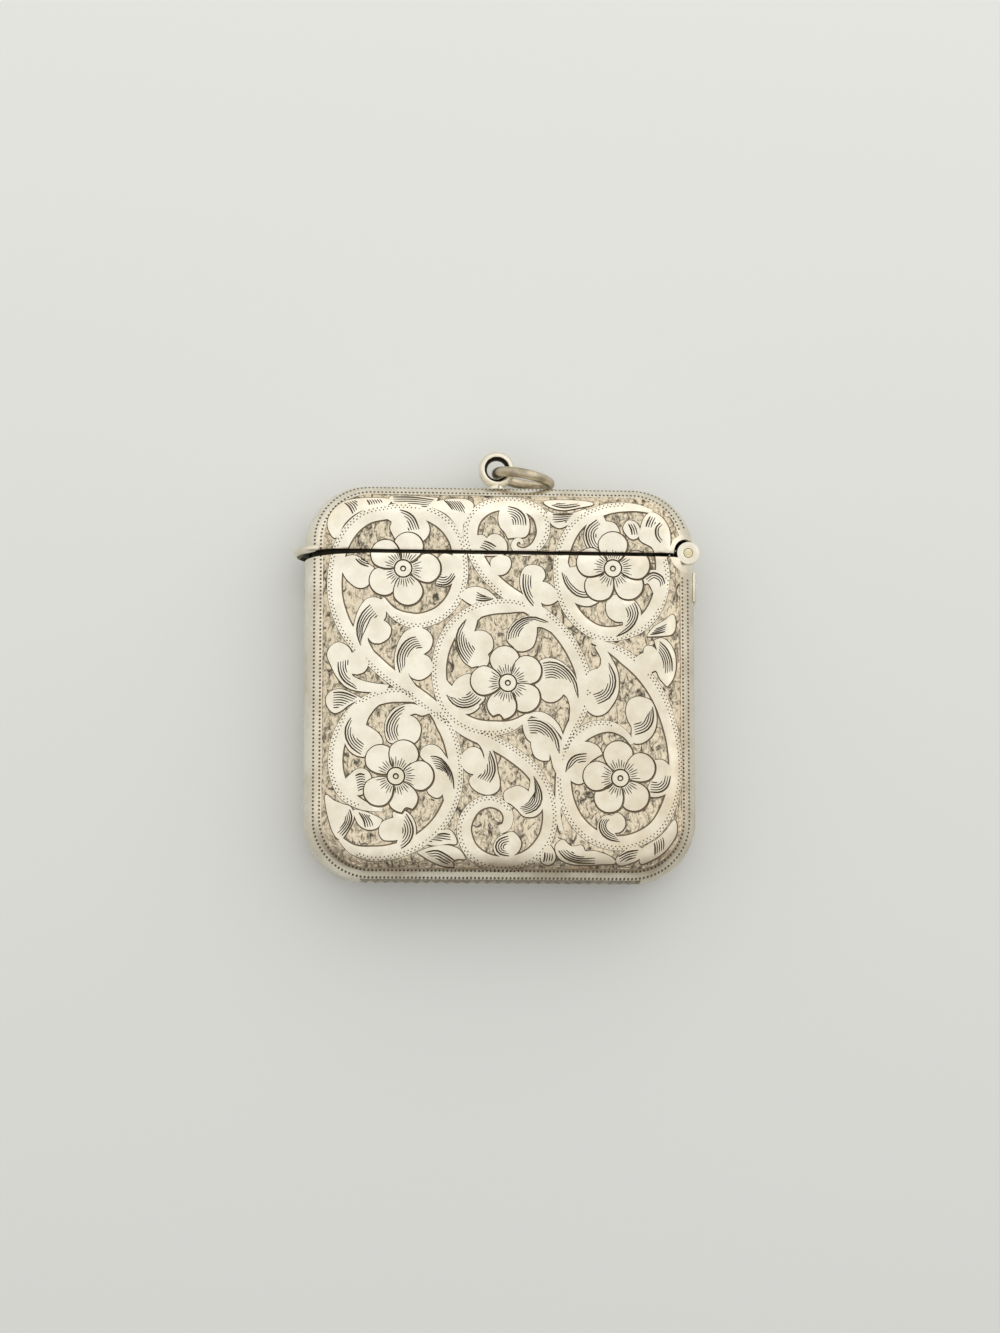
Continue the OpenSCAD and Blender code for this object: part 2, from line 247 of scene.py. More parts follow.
class Ornament:
    """Engraved shapes in painting order, each with its kind."""

    # shares of a line's width outside, at and inside the edge that it follows
    OUTSIDE, LEAN, MIDDLE, INSIDE_EDGE = 0.6, 0.75, 0.05, 0.4
    STROKE, STROKE_PITCH, FIRST_STROKE = 0.13, 0.27, 1.6
    RAYS, RAY_TURN, RAY_FROM, RAY_WIDTH = 7, 9.6, 1.1, 0.105

    def __init__(self):
        self.shapes = []
        self.grooves = []

    def paint(self, kind, points):
        self.shapes.append((kind, points))

    def outline(self, shape, line=LINE):
        """An engraved line round a shape, heavier on its lower right."""
        self.paint(CUT, grown(shape, line * self.OUTSIDE, self.LEAN))
        self.paint(CUT, grown(shape, line * self.MIDDLE))

    def fill(self, shape, line=LINE):
        """The silver inside such a line."""
        self.paint(SILVER, grown(shape, -line * self.INSIDE_EDGE))

    def stroke(self, line, width, n, kind=HATCH):
        """A fine cut along a line, thinner at its ends."""
        pts = part_of(line, 0.0, 1.0, n)
        left, right = [], []
        for i, ((x, y), (nx, ny)) in enumerate(zip(pts, left_normals(pts))):
            w = width / 2 * (0.6 + 0.4 * math.sin(math.pi * i / (n - 1)))
            left.append((x + nx * w, y + ny * w))
            right.append((x - nx * w, y - ny * w))
        self.paint(kind, right + left[::-1])
        self.grooves.append(pts)

    def dot(self, x, y, r):
        self.paint(CUT, circle(x, y, r, 6))

    def band(self, spine, margin, width):
        """The lines of a band along a spine; gives the band's silver and the course of its dotted margin."""
        line = smooth_line(spine, 7)
        run = lengths(line)
        nrm = left_normals(line)
        left, right = [], []
        outer_l, outer_r = [], []
        for (x, y), (nx, ny), s in zip(line, nrm, run):
            t = s / run[-1]
            w = BAND_W / 2 * ramp(width, t)
            m = ramp(margin, t)
            # the inner edge has a heavier line than the edge with the margin
            gl = MARGIN_LINE if m > 0 else HEAVY_LINE
            gr = MARGIN_LINE if m < 0 else HEAVY_LINE
            left.append((x + nx * w, y + ny * w))
            right.append((x - nx * w, y - ny * w))
            outer_l.append((x + nx * (w + gl), y + ny * (w + gl)))
            outer_r.append((x - nx * (w + gr), y - ny * (w + gr)))
        self.paint(CUT, outer_l + outer_r[::-1])
        return left + right[::-1], (line, run, margin, width)

    def margin_dots(self, line, run, margin, width):
        """Two rows of dots along a band, on the side that its margin gives."""
        count = int(run[-1] / DOT_PITCH)
        for row, off in enumerate(MARGIN_ROWS):
            for i in range(count):
                t = (i + 0.5 * row + 0.3) / count
                if t >= 1:
                    continue
                m = ramp(margin, t)
                if abs(m) < 0.75 or ramp(width, t) < 0.7:
                    continue
                (x, y), (x2, y2) = part_of(line, t, min(t + 0.001, 1.0), 2)
                size = math.hypot(x2 - x, y2 - y) or 1.0
                nx, ny = -(y2 - y) / size, (x2 - x) / size
                d = (BAND_W / 2 * ramp(width, t) - off) * (1 if m > 0 else -1)
                self.dot(x + nx * d, y + ny * d, MARGIN_DOT)

    def shade(self, first, last):
        """Fine strokes side by side from one curve towards another, each as far as there is room for it."""
        pitch = self.STROKE_PITCH
        a, b = (part_of(smooth_line(line, 6), 0.0, 1.0, 25) for line in (first, last))
        gaps = [max(math.dist(p, q), 1e-6) for p, q in zip(a, b)]
        for k in range(int(max(gaps) / pitch) + 1):
            line = [(p[0] + (q[0] - p[0]) * k * pitch / gap, p[1] + (q[1] - p[1]) * k * pitch / gap)
                    for p, q, gap in zip(a, b, gaps) if gap >= k * pitch]
            if len(line) > 3:
                width = self.STROKE if k else self.FIRST_STROKE * self.STROKE
                self.stroke(line, width, 9, HATCH if k else CUT)

    def flower(self, x, y, petals):
        """Petals at their turns in degrees, each with a plain or a notched tip, then rays and the eye."""
        other_side = [(u, -v) for u, v in reversed(PETAL_SIDE)]
        for turn, notch in petals:
            c, s = math.cos(math.radians(turn)), math.sin(math.radians(turn))
            loop = smooth_line(PETAL_SIDE + PETAL_TIPS[notch] + other_side, 3, True)
            petal = [(x + c * u * PETAL_REACH - s * v * PETAL_HALF, y + s * u * PETAL_REACH + c * v * PETAL_HALF)
                     for u, v in loop]
            self.outline(petal, HEAVY_LINE)
            self.fill(petal, HEAVY_LINE)
        for turn, notch in petals:
            for k in range(self.RAYS):
                a = math.radians(turn + (k - self.RAYS // 2) * self.RAY_TURN)
                end = 1.95 + 0.2 * math.cos(k * 2.4)
                reach = (self.RAY_FROM, (self.RAY_FROM + end) / 2, end)
                self.stroke([(x + r * math.cos(a), y + r * math.sin(a)) for r in reach], self.RAY_WIDTH, 4)
        for kind, shift, r, n in FLOWER_EYE:
            self.paint(kind, circle(x, y + shift, r, n))


def rounded(hx, hy, r, n, step=None):
    """Outline of a rounded rectangle, from its right side round to the left, with points a step apart at most."""
    out = []
    for cx, cy, a0 in ((hx - r, hy - r, 0), (r - hx, hy - r, 90), (r - hx, r - hy, 180), (hx - r, r - hy, 270)):
        for i in range(n + 1):
            a = math.radians(a0 + 90 * i / n)
            out.append((cx + r * math.cos(a), cy + r * math.sin(a)))
    if step is None:
        return out
    full = []
    for a, b in zip(out, out[1:] + out[:1]):
        full.append(a)
        gap = math.hypot(b[0] - a[0], b[1] - a[1])
        if gap <= step:
            continue
        count = math.ceil(gap / step)
        full += [(a[0] + (b[0] - a[0]) * t, a[1] + (b[1] - a[1]) * t) for t in (i / count for i in range(1, count))]
    return full


# Bands of the scroll: points of the spine, side of the dotted margin along it, and width along it
BANDS = [
    # from the upper left ring by a long stem to the scroll at the bottom
    ([(-12.9, 8.6), (-11.9, 7.2), (-10.4, 6.4), (-8.8, 6.25), (-6.8, 7.0), (-5.3, 8.6), (-4.55, 10.8),
      (-4.55, 12.9), (-5.0, 15.1), (-6.3, 16.9), (-8.3, 18.0), (-10.8, 18.25), (-12.6, 18.0), (-14.6, 17.5),
      (-16.3, 16.1), (-17.5, 13.9), (-18.0, 11.2), (-18.0, 9.0), (-17.6, 7.2), (-16.8, 5.3), (-15.5, 3.5),
      (-13.9, 1.9), (-12.2, 0.4), (-10.3, -1.0), (-8.5, -2.3), (-6.8, -3.6), (-5.2, -4.6), (-3.4, -5.7),
      (-1.2, -6.7), (0.9, -7.9), (2.9, -9.5), (4.2, -11.3), (4.95, -13.3), (5.05, -15.3), (4.5, -17.2),
      (3.0, -18.9), (0.8, -19.7), (-1.6, -19.5), (-3.4, -18.3), (-4.15, -16.3), (-3.7, -14.6), (-2.7, -13.5),
      (-1.3, -13.1), (0.0, -13.6), (0.6, -14.6), (0.4, -15.7), (-0.3, -16.1)],
     ((0, -1), (0.58, -1), (0.63, 1), (1, 1)), ((0, 0.3), (0.04, 1), (0.9, 1), (1, 0.6))),
    # ring round the middle flower
    ([(4.2, 7.2), (2.2, 7.9), (0.3, 8.0), (-1.9, 7.7), (-3.9, 6.8), (-5.5, 5.3), (-6.5, 3.2), (-6.85, 1.0),
      (-6.6, -1.2), (-5.9, -3.0), (-4.6, -4.3), (-2.9, -5.1), (-0.9, -5.3), (0.9, -5.0), (2.3, -4.2), (3.2, -3.4)],
     ((0, -1), (1, -1)), ((0, 0.3), (0.12, 1), (0.85, 1), (1, 0.25))),
    # scroll at the top and its sweep down past the middle
    ([(2.1, 14.75), (1.95, 15.15), (1.45, 15.1), (1.2, 14.6), (1.5, 14.1), (2.3, 13.85), (3.2, 14.15), (3.95, 14.95),
      (4.4, 16.2), (4.0, 17.9), (2.5, 19.0), (0.5, 19.3), (-1.6, 18.8), (-3.0, 17.6),
      (-3.5, 16.0), (-3.2, 14.3), (-2.4, 12.5), (-1.2, 10.9), (0.4, 9.5), (2.4, 8.2), (4.3, 7.0), (6.0, 5.5),
      (7.4, 3.6), (8.5, 1.2), (8.8, -1.2), (8.3, -3.4), (7.3, -5.4), (6.6, -7.4), (6.2, -9.8), (6.0, -12.3),
      (5.9, -14.5), (6.3, -16.2)],
     ((0, -1), (0.45, -1), (0.53, 1), (1, 1)), ((0, 0.2), (0.06, 0.6), (0.13, 1), (0.72, 1), (1, 0.3))),
    # upper right ring
    ([(16.2, 18.55), (14.4, 18.95), (12.3, 18.95), (10.2, 18.35), (8.3, 17.2), (7.0, 15.4), (6.3, 13.2), (6.3, 10.8),
      (6.9, 8.4), (8.3, 6.4), (10.2, 5.2), (12.3, 5.1), (14.4, 5.8), (16.0, 7.2), (17.0, 9.3), (17.3, 11.7),
      (17.0, 14.0), (16.2, 16.2)],
     ((0, -1), (1, -1)), ((0, 0.3), (0.08, 0.7), (0.3, 1), (0.88, 1), (1, 0.4))),
    # right stem and lower right ring
    ([(9.6, 4.3), (11.5, 3.6), (13.4, 2.4), (15.2, 0.7), (16.7, -1.5), (17.8, -4.2), (18.5, -7.2), (18.6, -10.2),
      (18.0, -13.0), (16.6, -15.6), (14.6, -17.0), (12.3, -17.5), (9.9, -16.9), (8.0, -15.3), (6.9, -13.2),
      (6.5, -10.8), (6.8, -8.4), (7.9, -6.4), (9.6, -5.2), (11.5, -4.95), (13.1, -5.7), (13.9, -6.8)],
     ((0, 1), (1, 1)), ((0, 0.3), (0.08, 1), (0.9, 1), (1, 0.3))),
    # lower left ring, left side and then right side
    ([(-8.8, -2.2), (-11.2, -1.75), (-13.6, -2.2), (-15.7, -3.6), (-17.1, -5.6), (-17.8, -8.0), (-17.7, -10.3),
      (-16.8, -12.3), (-15.0, -13.6), (-12.8, -14.1)],
     ((0, -1), (1, -1)), ((0, 0.5), (0.1, 1), (0.8, 1), (1, 0.3))),
    ([(-7.9, -2.9), (-6.7, -4.3), (-5.6, -6.4), (-5.0, -9.2), (-5.2, -12.2), (-6.4, -15.0), (-8.4, -17.1),
      (-10.8, -18.3), (-13.4, -18.8), (-15.8, -18.4), (-17.3, -17.2)],
     ((0, 1), (1, 1)), ((0, 0.5), (0.1, 1), (0.85, 1), (1, 0.3))),
]

# Leaves: points of the edge, where a third value makes a sharp corner, then the first and last curve of the shading
LEAVES = [
    # upper left ring
    ([(-12.6, 17.6), (-11.2, 18.4), (-9.7, 18.1), (-8.8, 17.5, 1), (-8.15, 16.9), (-7.95, 16.1), (-8.2, 15.4),
      (-8.7, 14.9, 1), (-9.6, 14.6), (-10.8, 14.6), (-11.4, 14.95, 1), (-11.75, 15.6), (-12.05, 16.3), (-11.9, 17.0)],
     [(-11.1, 18.3), (-10.2, 18.0), (-9.5, 17.4), (-9.0, 16.2)],
     [(-10.9, 17.9), (-10.5, 17.4), (-10.25, 16.8), (-10.2, 16.0)]),
    ([(-5.3, 13.2), (-5.05, 12.2), (-5.0, 11.2), (-5.4, 10.5), (-6.2, 10.1), (-7.1, 10.25, 1), (-6.9, 11.0),
      (-6.6, 11.6), (-6.9, 12.3), (-6.9, 13.0), (-6.3, 13.5)],
     [(-7.1, 10.3), (-6.4, 10.15), (-5.7, 10.4), (-5.1, 11.2)],
     [(-6.75, 11.5), (-6.5, 11.2), (-6.0, 11.1), (-5.3, 11.6)]),
    ([(-17.4, 12.6), (-17.0, 11.2), (-16.4, 10.4), (-15.6, 9.85), (-14.8, 9.9), (-14.2, 10.5), (-14.0, 11.2),
      (-13.9, 11.9, 1), (-14.6, 12.4), (-15.3, 12.9), (-16.2, 13.2)],
     [(-15.8, 12.9), (-15.2, 12.35), (-14.4, 12.05)],
     [(-14.9, 12.9), (-14.6, 12.75), (-14.3, 12.5)]),
    ([(-15.6, 3.0), (-16.0, 4.4), (-15.8, 6.0), (-15.3, 7.5), (-14.5, 8.5), (-13.4, 8.6), (-12.7, 7.9), (-12.6, 6.8),
      (-12.9, 6.2, 1), (-12.4, 5.9), (-12.05, 5.3), (-12.3, 4.4), (-13.1, 3.85, 1), (-13.9, 3.9), (-14.5, 4.6, 1),
      (-14.5, 4.0), (-14.1, 3.2), (-13.6, 2.4, 1), (-14.6, 2.4)],
     [(-15.2, 3.5), (-15.6, 4.8), (-15.5, 6.0), (-15.0, 7.1), (-14.2, 7.9)],
     [(-15.0, 4.6), (-14.9, 5.5), (-14.5, 6.2), (-13.9, 6.5), (-13.1, 6.3)]),
    ([(-10.8, -0.6), (-11.4, 0.8), (-11.5, 2.2), (-11.2, 3.6), (-10.5, 4.9), (-9.3, 5.5), (-8.1, 5.1), (-7.6, 4.2),
      (-7.9, 3.2), (-8.7, 2.6, 1), (-8.0, 2.3), (-7.6, 1.5), (-7.8, 0.6), (-8.8, -0.05), (-9.8, 0.25),
      (-10.3, 1.4, 1), (-10.1, 0.3), (-9.6, -0.5), (-9.0, -1.3, 1), (-10.0, -1.2)],
     [(-11.0, 0.6), (-11.3, 2.0), (-11.0, 3.2), (-10.2, 4.2), (-9.3, 4.5)],
     [(-10.5, 1.3), (-10.3, 2.1), (-9.9, 2.8), (-9.3, 3.2), (-8.5, 3.2)]),
    ([(-13.0, -1.4), (-15.3, -1.35), (-16.7, -0.9), (-17.7, 0.2), (-18.3, 1.4), (-18.7, 2.5), (-18.3, 3.4),
      (-17.5, 3.75), (-16.6, 3.3), (-16.2, 2.6, 1), (-15.5, 2.75), (-14.8, 2.3), (-14.5, 1.4), (-14.9, 0.7),
      (-15.6, 0.45, 1), (-16.2, 0.5), (-16.0, 0.1), (-15.0, -0.35), (-13.6, -0.65), (-12.2, -0.75, 1)],
     [(-17.6, 1.7), (-17.5, 0.6), (-16.9, -0.4), (-15.6, -1.2)],
     [(-16.4, 2.0), (-16.6, 1.1), (-16.5, 0.2), (-15.7, -0.9)]),
    ([(-4.6, 9.0, 1), (-3.9, 9.7), (-2.9, 9.95), (-1.9, 9.7), (-1.2, 9.2), (-0.7, 8.7, 1), (-1.6, 8.4), (-2.6, 8.4),
      (-3.3, 8.1, 1), (-4.0, 8.5)],
     [(-2.9, 8.6), (-2.0, 8.5), (-1.0, 8.75)],
     [(-2.75, 9.6), (-2.5, 9.3), (-2.1, 9.1)]),
    # border of the lid
    ([(-18.6, 16.0), (-18.7, 17.2), (-18.0, 18.5), (-17.0, 19.2), (-15.6, 19.5), (-13.5, 19.6), (-12.0, 19.5, 1),
      (-12.4, 18.9), (-13.8, 18.6), (-15.6, 18.0), (-17.0, 16.8), (-17.9, 15.2)],
     [(-17.0, 19.1), (-16.5, 18.6), (-16.1, 17.8)], [(-15.7, 19.4), (-15.6, 19.0), (-15.6, 18.3)]),
    ([(-15.0, 19.4), (-14.9, 18.7, 1), (-14.0, 18.75), (-12.9, 19.0), (-12.3, 19.5, 1), (-13.6, 19.6)],
     [(-14.6, 19.4), (-14.4, 19.1), (-14.3, 18.8)], [(-13.1, 19.5), (-13.0, 19.3), (-12.9, 19.1)]),
    ([(-8.0, 18.9, 1), (-7.0, 19.3), (-5.5, 19.6), (-4.0, 19.6), (-3.2, 19.0), (-3.6, 18.0), (-4.3, 16.8),
      (-4.4, 15.4), (-4.9, 16.6), (-6.0, 17.9), (-7.4, 18.6)],
     [(-6.3, 19.5), (-5.9, 19.1), (-5.4, 18.4)], [(-4.6, 19.4), (-4.2, 18.8), (-3.9, 18.0)]),
    ([(4.9, 18.3), (5.6, 18.05), (7.4, 18.1), (9.0, 18.6), (8.2, 17.9), (7.4, 17.2), (6.2, 16.6), (5.4, 16.9, 1),
      (5.0, 17.5)],
     [(5.4, 18.0), (6.5, 18.0), (7.6, 18.1)], [(5.4, 17.2), (6.2, 17.1), (6.9, 17.2)]),
    ([(4.6, 19.5), (5.2, 18.9), (6.6, 18.6), (8.2, 18.9), (9.8, 19.3), (8.6, 19.6), (6.6, 19.65)],
     [(5.3, 19.1), (6.6, 18.8), (8.4, 19.1)], [(6.0, 19.4), (7.0, 19.3), (8.0, 19.4)]),
    ([(14.9, 15.4), (15.0, 16.7), (15.4, 17.8), (16.2, 18.4), (17.2, 17.9), (17.9, 16.8), (18.1, 15.4), (17.8, 13.6),
      (16.8, 13.4), (16.2, 14.6)],
     [(15.5, 16.8), (15.7, 17.4), (16.0, 18.0)], [(16.2, 16.7), (16.5, 17.2), (16.7, 17.8)]),
    ([(13.1, 16.7), (13.6, 17.4), (14.4, 17.2), (14.8, 16.4), (14.6, 15.7), (14.0, 15.5), (13.4, 16.0)],
     [(13.6, 17.1), (13.9, 16.5), (14.0, 15.9)], [(14.4, 17.1), (14.7, 16.5), (14.7, 15.9)]),
    ([(17.3, 17.0), (16.9, 16.8), (16.8, 16.2), (16.9, 15.6), (17.3, 15.4)],
     [(17.1, 17.3), (16.6, 16.7), (16.6, 15.8), (17.1, 15.1)],
     [(17.4, 17.0), (17.1, 16.5), (17.1, 15.9), (17.4, 15.4)]),
    ([(-12.0, 19.85), (-9.5, 19.9), (-7.0, 19.7, 1), (-7.6, 18.7), (-8.6, 18.4, 1), (-9.9, 18.9), (-11.8, 19.1, 1)],
     [(-11.8, 19.8), (-9.6, 19.8), (-7.4, 19.5)], [(-11.7, 19.2), (-9.9, 19.0), (-8.2, 18.6)]),
    # scroll at the top
    ([(0.0, 18.7), (1.0, 19.0), (2.0, 18.6), (2.7, 17.6), (2.8, 16.4), (2.4, 15.6), (1.4, 15.5), (0.6, 15.4, 1),
      (0.3, 16.0), (-0.2, 16.6), (-0.4, 17.4), (-0.3, 18.2)],
     [(0.6, 18.85), (1.6, 18.55), (2.35, 17.8), (2.5, 16.8)],
     [(0.5, 18.2), (0.8, 17.9), (0.95, 17.4), (0.95, 16.8)]),
    ([(-3.1, 14.5), (-2.9, 15.4), (-2.2, 15.6), (-1.7, 15.2, 1), (-1.3, 15.6), (-0.6, 15.7), (0.1, 15.2), (0.4, 14.5),
      (0.2, 13.7), (-1.0, 13.5), (-2.4, 13.6)],
     [(-2.0, 15.0), (-1.4, 14.8), (-0.7, 14.4)],
     [(-2.5, 14.3), (-2.0, 14.1), (-1.4, 13.8)]),
    ([(-1.2, 12.9), (-1.1, 12.0), (-0.5, 11.4), (0.3, 11.6), (0.8, 12.4), (0.6, 13.2), (-0.3, 13.4)],),
    # upper right ring
    ([(3.3, 7.4), (2.5, 8.8), (2.0, 10.1), (2.0, 11.3), (2.5, 12.2), (3.4, 12.4), (4.2, 12.1), (4.5, 11.3),
      (4.1, 10.6, 1), (4.8, 10.45), (5.6, 9.8), (6.0, 8.8, 1), (5.2, 8.3), (4.4, 8.3), (4.0, 8.8, 1), (4.2, 7.9),
      (4.9, 7.2, 1)],
     [(3.3, 8.0), (2.55, 9.0), (2.2, 10.2), (2.25, 11.5)],
     [(3.4, 8.3), (3.2, 9.2), (3.05, 10.2), (3.1, 11.3)]),
    ([(6.2, 12.0), (6.5, 10.7), (7.3, 9.5), (8.4, 8.85), (9.5, 8.9), (10.0, 9.4, 1), (9.4, 10.2), (9.3, 11.1),
      (8.8, 11.9), (8.0, 12.3), (7.2, 12.2), (6.9, 12.8), (6.3, 12.9)],
     [(6.4, 11.7), (6.8, 10.4), (7.8, 9.3), (8.9, 9.0), (9.8, 9.2)],
     [(7.0, 11.2), (7.4, 10.5), (8.1, 9.95), (8.8, 9.8), (9.5, 9.9)]),
    ([(6.6, 9.8, 1), (7.2, 8.9), (8.2, 8.3), (9.3, 8.15), (10.3, 8.6, 1), (9.6, 8.8), (8.6, 8.7), (7.6, 9.2)],),
    ([(10.6, 18.0), (9.6, 17.5), (9.0, 16.5), (8.9, 15.3), (9.4, 14.3), (10.4, 14.0), (11.4, 14.6), (12.5, 15.6),
      (12.5, 16.4), (12.0, 17.1), (11.1, 17.3, 1), (10.9, 17.7)],
     [(10.2, 17.5), (9.25, 16.7), (9.0, 15.7), (9.35, 14.6), (9.9, 14.1)],
     [(10.6, 17.0), (10.2, 16.4), (10.1, 15.7), (10.2, 15.0), (10.4, 14.4)]),
    ([(11.2, 8.2), (11.6, 9.0), (12.4, 9.3), (13.4, 8.9), (14.2, 8.6), (14.8, 7.6), (14.6, 6.4), (13.8, 5.4),
      (12.6, 4.8), (11.9, 4.75, 1), (12.8, 5.6), (13.0, 6.4), (12.2, 6.5), (11.4, 7.1)],
     [(14.2, 8.5), (14.6, 7.4), (14.2, 6.2), (13.3, 5.3), (12.2, 4.8)],
     [(13.0, 7.8), (13.4, 7.1), (13.4, 6.4), (13.1, 5.7), (12.6, 5.1)]),
    ([(15.0, 10.4, 1), (15.2, 11.4), (16.0, 12.0), (16.9, 11.9), (17.5, 11.2), (17.7, 10.0), (17.2, 8.6),
      (16.4, 7.6, 1), (16.5, 8.8), (16.2, 9.9), (15.7, 10.7)],
     [(15.3, 11.2), (16.2, 11.8), (17.2, 11.4), (17.5, 10.6)],
     [(15.8, 10.7), (16.3, 11.0), (16.8, 10.8), (16.9, 10.2)]),
    ([(16.4, 4.4, 1), (17.2, 4.6), (18.0, 4.0), (18.5, 2.9), (18.6, 1.6), (18.3, 0.4), (17.7, -0.5, 1), (17.0, 0.3),
      (16.5, 1.2), (15.7, 0.9), (14.9, 1.0), (14.3, 1.7), (14.5, 2.6), (15.2, 3.0, 1), (15.4, 3.7), (16.1, 3.7),
      (16.7, 3.2)],
     [(16.9, 4.3), (17.7, 3.5), (18.2, 2.3), (18.25, 1.1)],
     [(16.8, 3.1), (17.1, 2.4), (17.3, 1.7), (17.4, 0.8)]),
    ([(15.6, 4.9, 1), (16.4, 5.9), (17.4, 6.5), (18.4, 7.2), (18.6, 6.0), (18.2, 5.2), (17.2, 5.0)],
     [(15.9, 5.05), (16.7, 5.2), (17.5, 5.4)], [(16.6, 5.8), (17.2, 6.0), (17.7, 6.3)]),
    # middle ring
    ([(-3.3, 7.2), (-4.2, 6.3), (-4.9, 5.1), (-4.95, 3.9), (-4.6, 2.8), (-4.1, 1.95), (-3.3, 1.35, 1), (-2.7, 1.5),
      (-1.9, 1.4), (-1.5, 2.2), (-1.7, 2.7, 1), (-1.15, 3.4), (-1.2, 4.4), (-1.8, 5.05), (-2.6, 5.2), (-3.2, 5.0, 1),
      (-3.0, 5.6), (-2.8, 6.4, 1), (-2.0, 7.3)],
     [(-3.9, 6.45), (-4.6, 5.6), (-4.95, 4.6), (-4.85, 3.6), (-4.45, 2.6), (-3.7, 1.7)],
     [(-4.1, 6.0), (-4.25, 5.3), (-4.0, 4.6), (-3.6, 4.0), (-3.2, 3.6), (-2.9, 3.3)]),
    ([(1.2, 3.6), (0.55, 4.3), (0.7, 5.3), (1.4, 6.25), (2.6, 6.85), (3.8, 6.75), (5.2, 6.1), (6.3, 5.3),
      (6.7, 4.5, 1), (5.4, 5.2), (4.3, 5.75), (3.6, 5.8, 1), (3.55, 4.8), (3.2, 3.7), (2.4, 3.2), (1.6, 3.2)],
     [(0.6, 4.35), (0.75, 5.2), (1.4, 6.1), (2.4, 6.7), (3.6, 6.75), (4.9, 6.25)],
     [(2.0, 4.7), (2.05, 5.2), (2.3, 5.7), (2.8, 6.15), (3.5, 6.4), (4.6, 6.2)]),
    ([(3.9, 1.9), (4.9, 2.3), (6.1, 2.0), (7.3, 1.0), (8.0, -0.3), (8.2, -1.5), (8.6, -2.8, 1), (8.0, -4.0),
      (7.2, -4.3, 1), (7.3, -3.0), (7.0, -1.9), (6.5, -1.4, 1), (6.1, -1.9), (5.4, -2.3), (4.6, -2.2), (4.0, -1.6),
      (3.8, -0.9), (3.4, -0.3, 1), (4.0, 0.3), (4.2, 0.9, 1), (3.9, 1.3)],
     [(4.3, 1.8), (5.4, 1.95), (6.5, 1.5), (7.4, 0.6), (7.95, -0.5), (8.1, -1.9)],
     [(4.6, 0.1), (5.5, 0.1), (6.3, 0.1), (7.0, -0.1), (7.5, -0.5), (7.95, -1.5)]),
    ([(-6.4, -1.2), (-6.0, -2.1), (-5.2, -2.9), (-4.3, -3.25), (-3.4, -3.15), (-2.6, -2.7), (-2.0, -2.0),
      (-2.5, -1.4), (-3.2, -0.8), (-3.4, 0.2), (-3.6, 0.5), (-4.3, 0.3), (-5.0, -0.2), (-5.4, -0.9, 1), (-5.9, -0.4),
      (-6.4, 0.4, 1)],
     [(-6.0, -1.7), (-5.5, -2.5), (-4.7, -3.0), (-3.8, -3.05), (-2.9, -2.7), (-2.3, -2.1)],
     [(-5.5, -2.0), (-5.0, -2.1), (-4.5, -2.0), (-4.1, -1.8), (-3.8, -1.5), (-3.7, -1.1)]),
    ([(-5.4, -3.1, 1), (-4.6, -3.6), (-3.6, -3.65), (-2.8, -3.2), (-2.5, -2.8, 1), (-3.4, -3.35), (-4.4, -3.4)],),
    ([(2.6, -3.7, 1), (3.9, -3.5), (5.1, -4.0), (6.0, -5.0), (6.5, -6.3, 1), (5.9, -5.5), (5.0, -4.6), (3.9, -4.1)],),
    ([(2.3, -4.6), (3.5, -4.2), (4.8, -4.7), (5.7, -5.7), (6.3, -7.0), (6.3, -9.0), (6.1, -10.6, 1), (5.5, -9.4),
      (5.2, -8.2), (4.75, -7.1, 1), (4.95, -7.8), (4.9, -8.6, 1), (4.2, -8.6), (3.5, -8.2), (3.15, -7.3),
      (3.1, -6.7, 1), (2.6, -6.2), (2.3, -5.4)],
     [(2.65, -4.4), (3.8, -4.4), (4.8, -4.9), (5.5, -5.7), (5.95, -6.7), (6.05, -7.9)],
     [(2.95, -5.9), (3.7, -5.8), (4.4, -5.95), (5.0, -6.3), (5.5, -6.8), (5.9, -7.6)]),
    # lower left ring
    ([(-16.2, -3.2), (-16.9, -5.0), (-16.9, -6.3), (-16.5, -7.5), (-15.7, -8.2), (-14.9, -8.4, 1), (-14.2, -8.1),
      (-13.9, -7.5), (-13.2, -7.3), (-12.9, -6.8), (-13.3, -6.0), (-14.1, -5.4), (-14.7, -5.1, 1), (-14.4, -4.2),
      (-13.7, -3.2), (-13.0, -2.6, 1), (-14.6, -2.6)],
     [(-16.2, -4.3), (-16.75, -5.3), (-16.7, -6.5), (-16.1, -7.5), (-15.1, -8.2)],
     [(-16.1, -4.7), (-16.1, -5.6), (-15.8, -6.2), (-15.3, -6.6), (-14.7, -6.8)]),
    ([(-12.1, -6.8), (-12.5, -5.6), (-12.3, -4.3), (-11.5, -3.3), (-10.4, -2.85), (-9.2, -2.9), (-7.8, -3.6, 1),
      (-8.6, -3.9), (-9.4, -3.7), (-10.2, -4.0, 1), (-9.4, -4.3), (-8.85, -5.2), (-9.0, -6.3), (-9.6, -6.9),
      (-10.8, -6.9)],
     [(-12.0, -6.7), (-12.4, -5.5), (-12.1, -4.4), (-11.4, -3.5), (-10.5, -3.0)],
     [(-11.0, -6.6), (-11.2, -5.7), (-11.1, -4.8), (-10.9, -4.1), (-10.5, -3.4)]),
    ([(-8.7, -8.3), (-8.5, -7.5), (-7.6, -7.15), (-6.8, -7.5), (-6.2, -8.3), (-5.5, -9.3), (-5.1, -10.6),
      (-5.2, -12.2), (-5.6, -13.6, 1), (-6.2, -13.0), (-6.35, -11.6, 1), (-6.5, -12.4), (-7.1, -12.7), (-7.9, -12.2),
      (-8.0, -11.4, 1), (-7.5, -10.8), (-7.6, -9.9), (-7.8, -9.2)],
     [(-7.7, -8.35), (-6.8, -8.45), (-6.0, -9.2), (-5.4, -10.3), (-5.2, -11.8)],
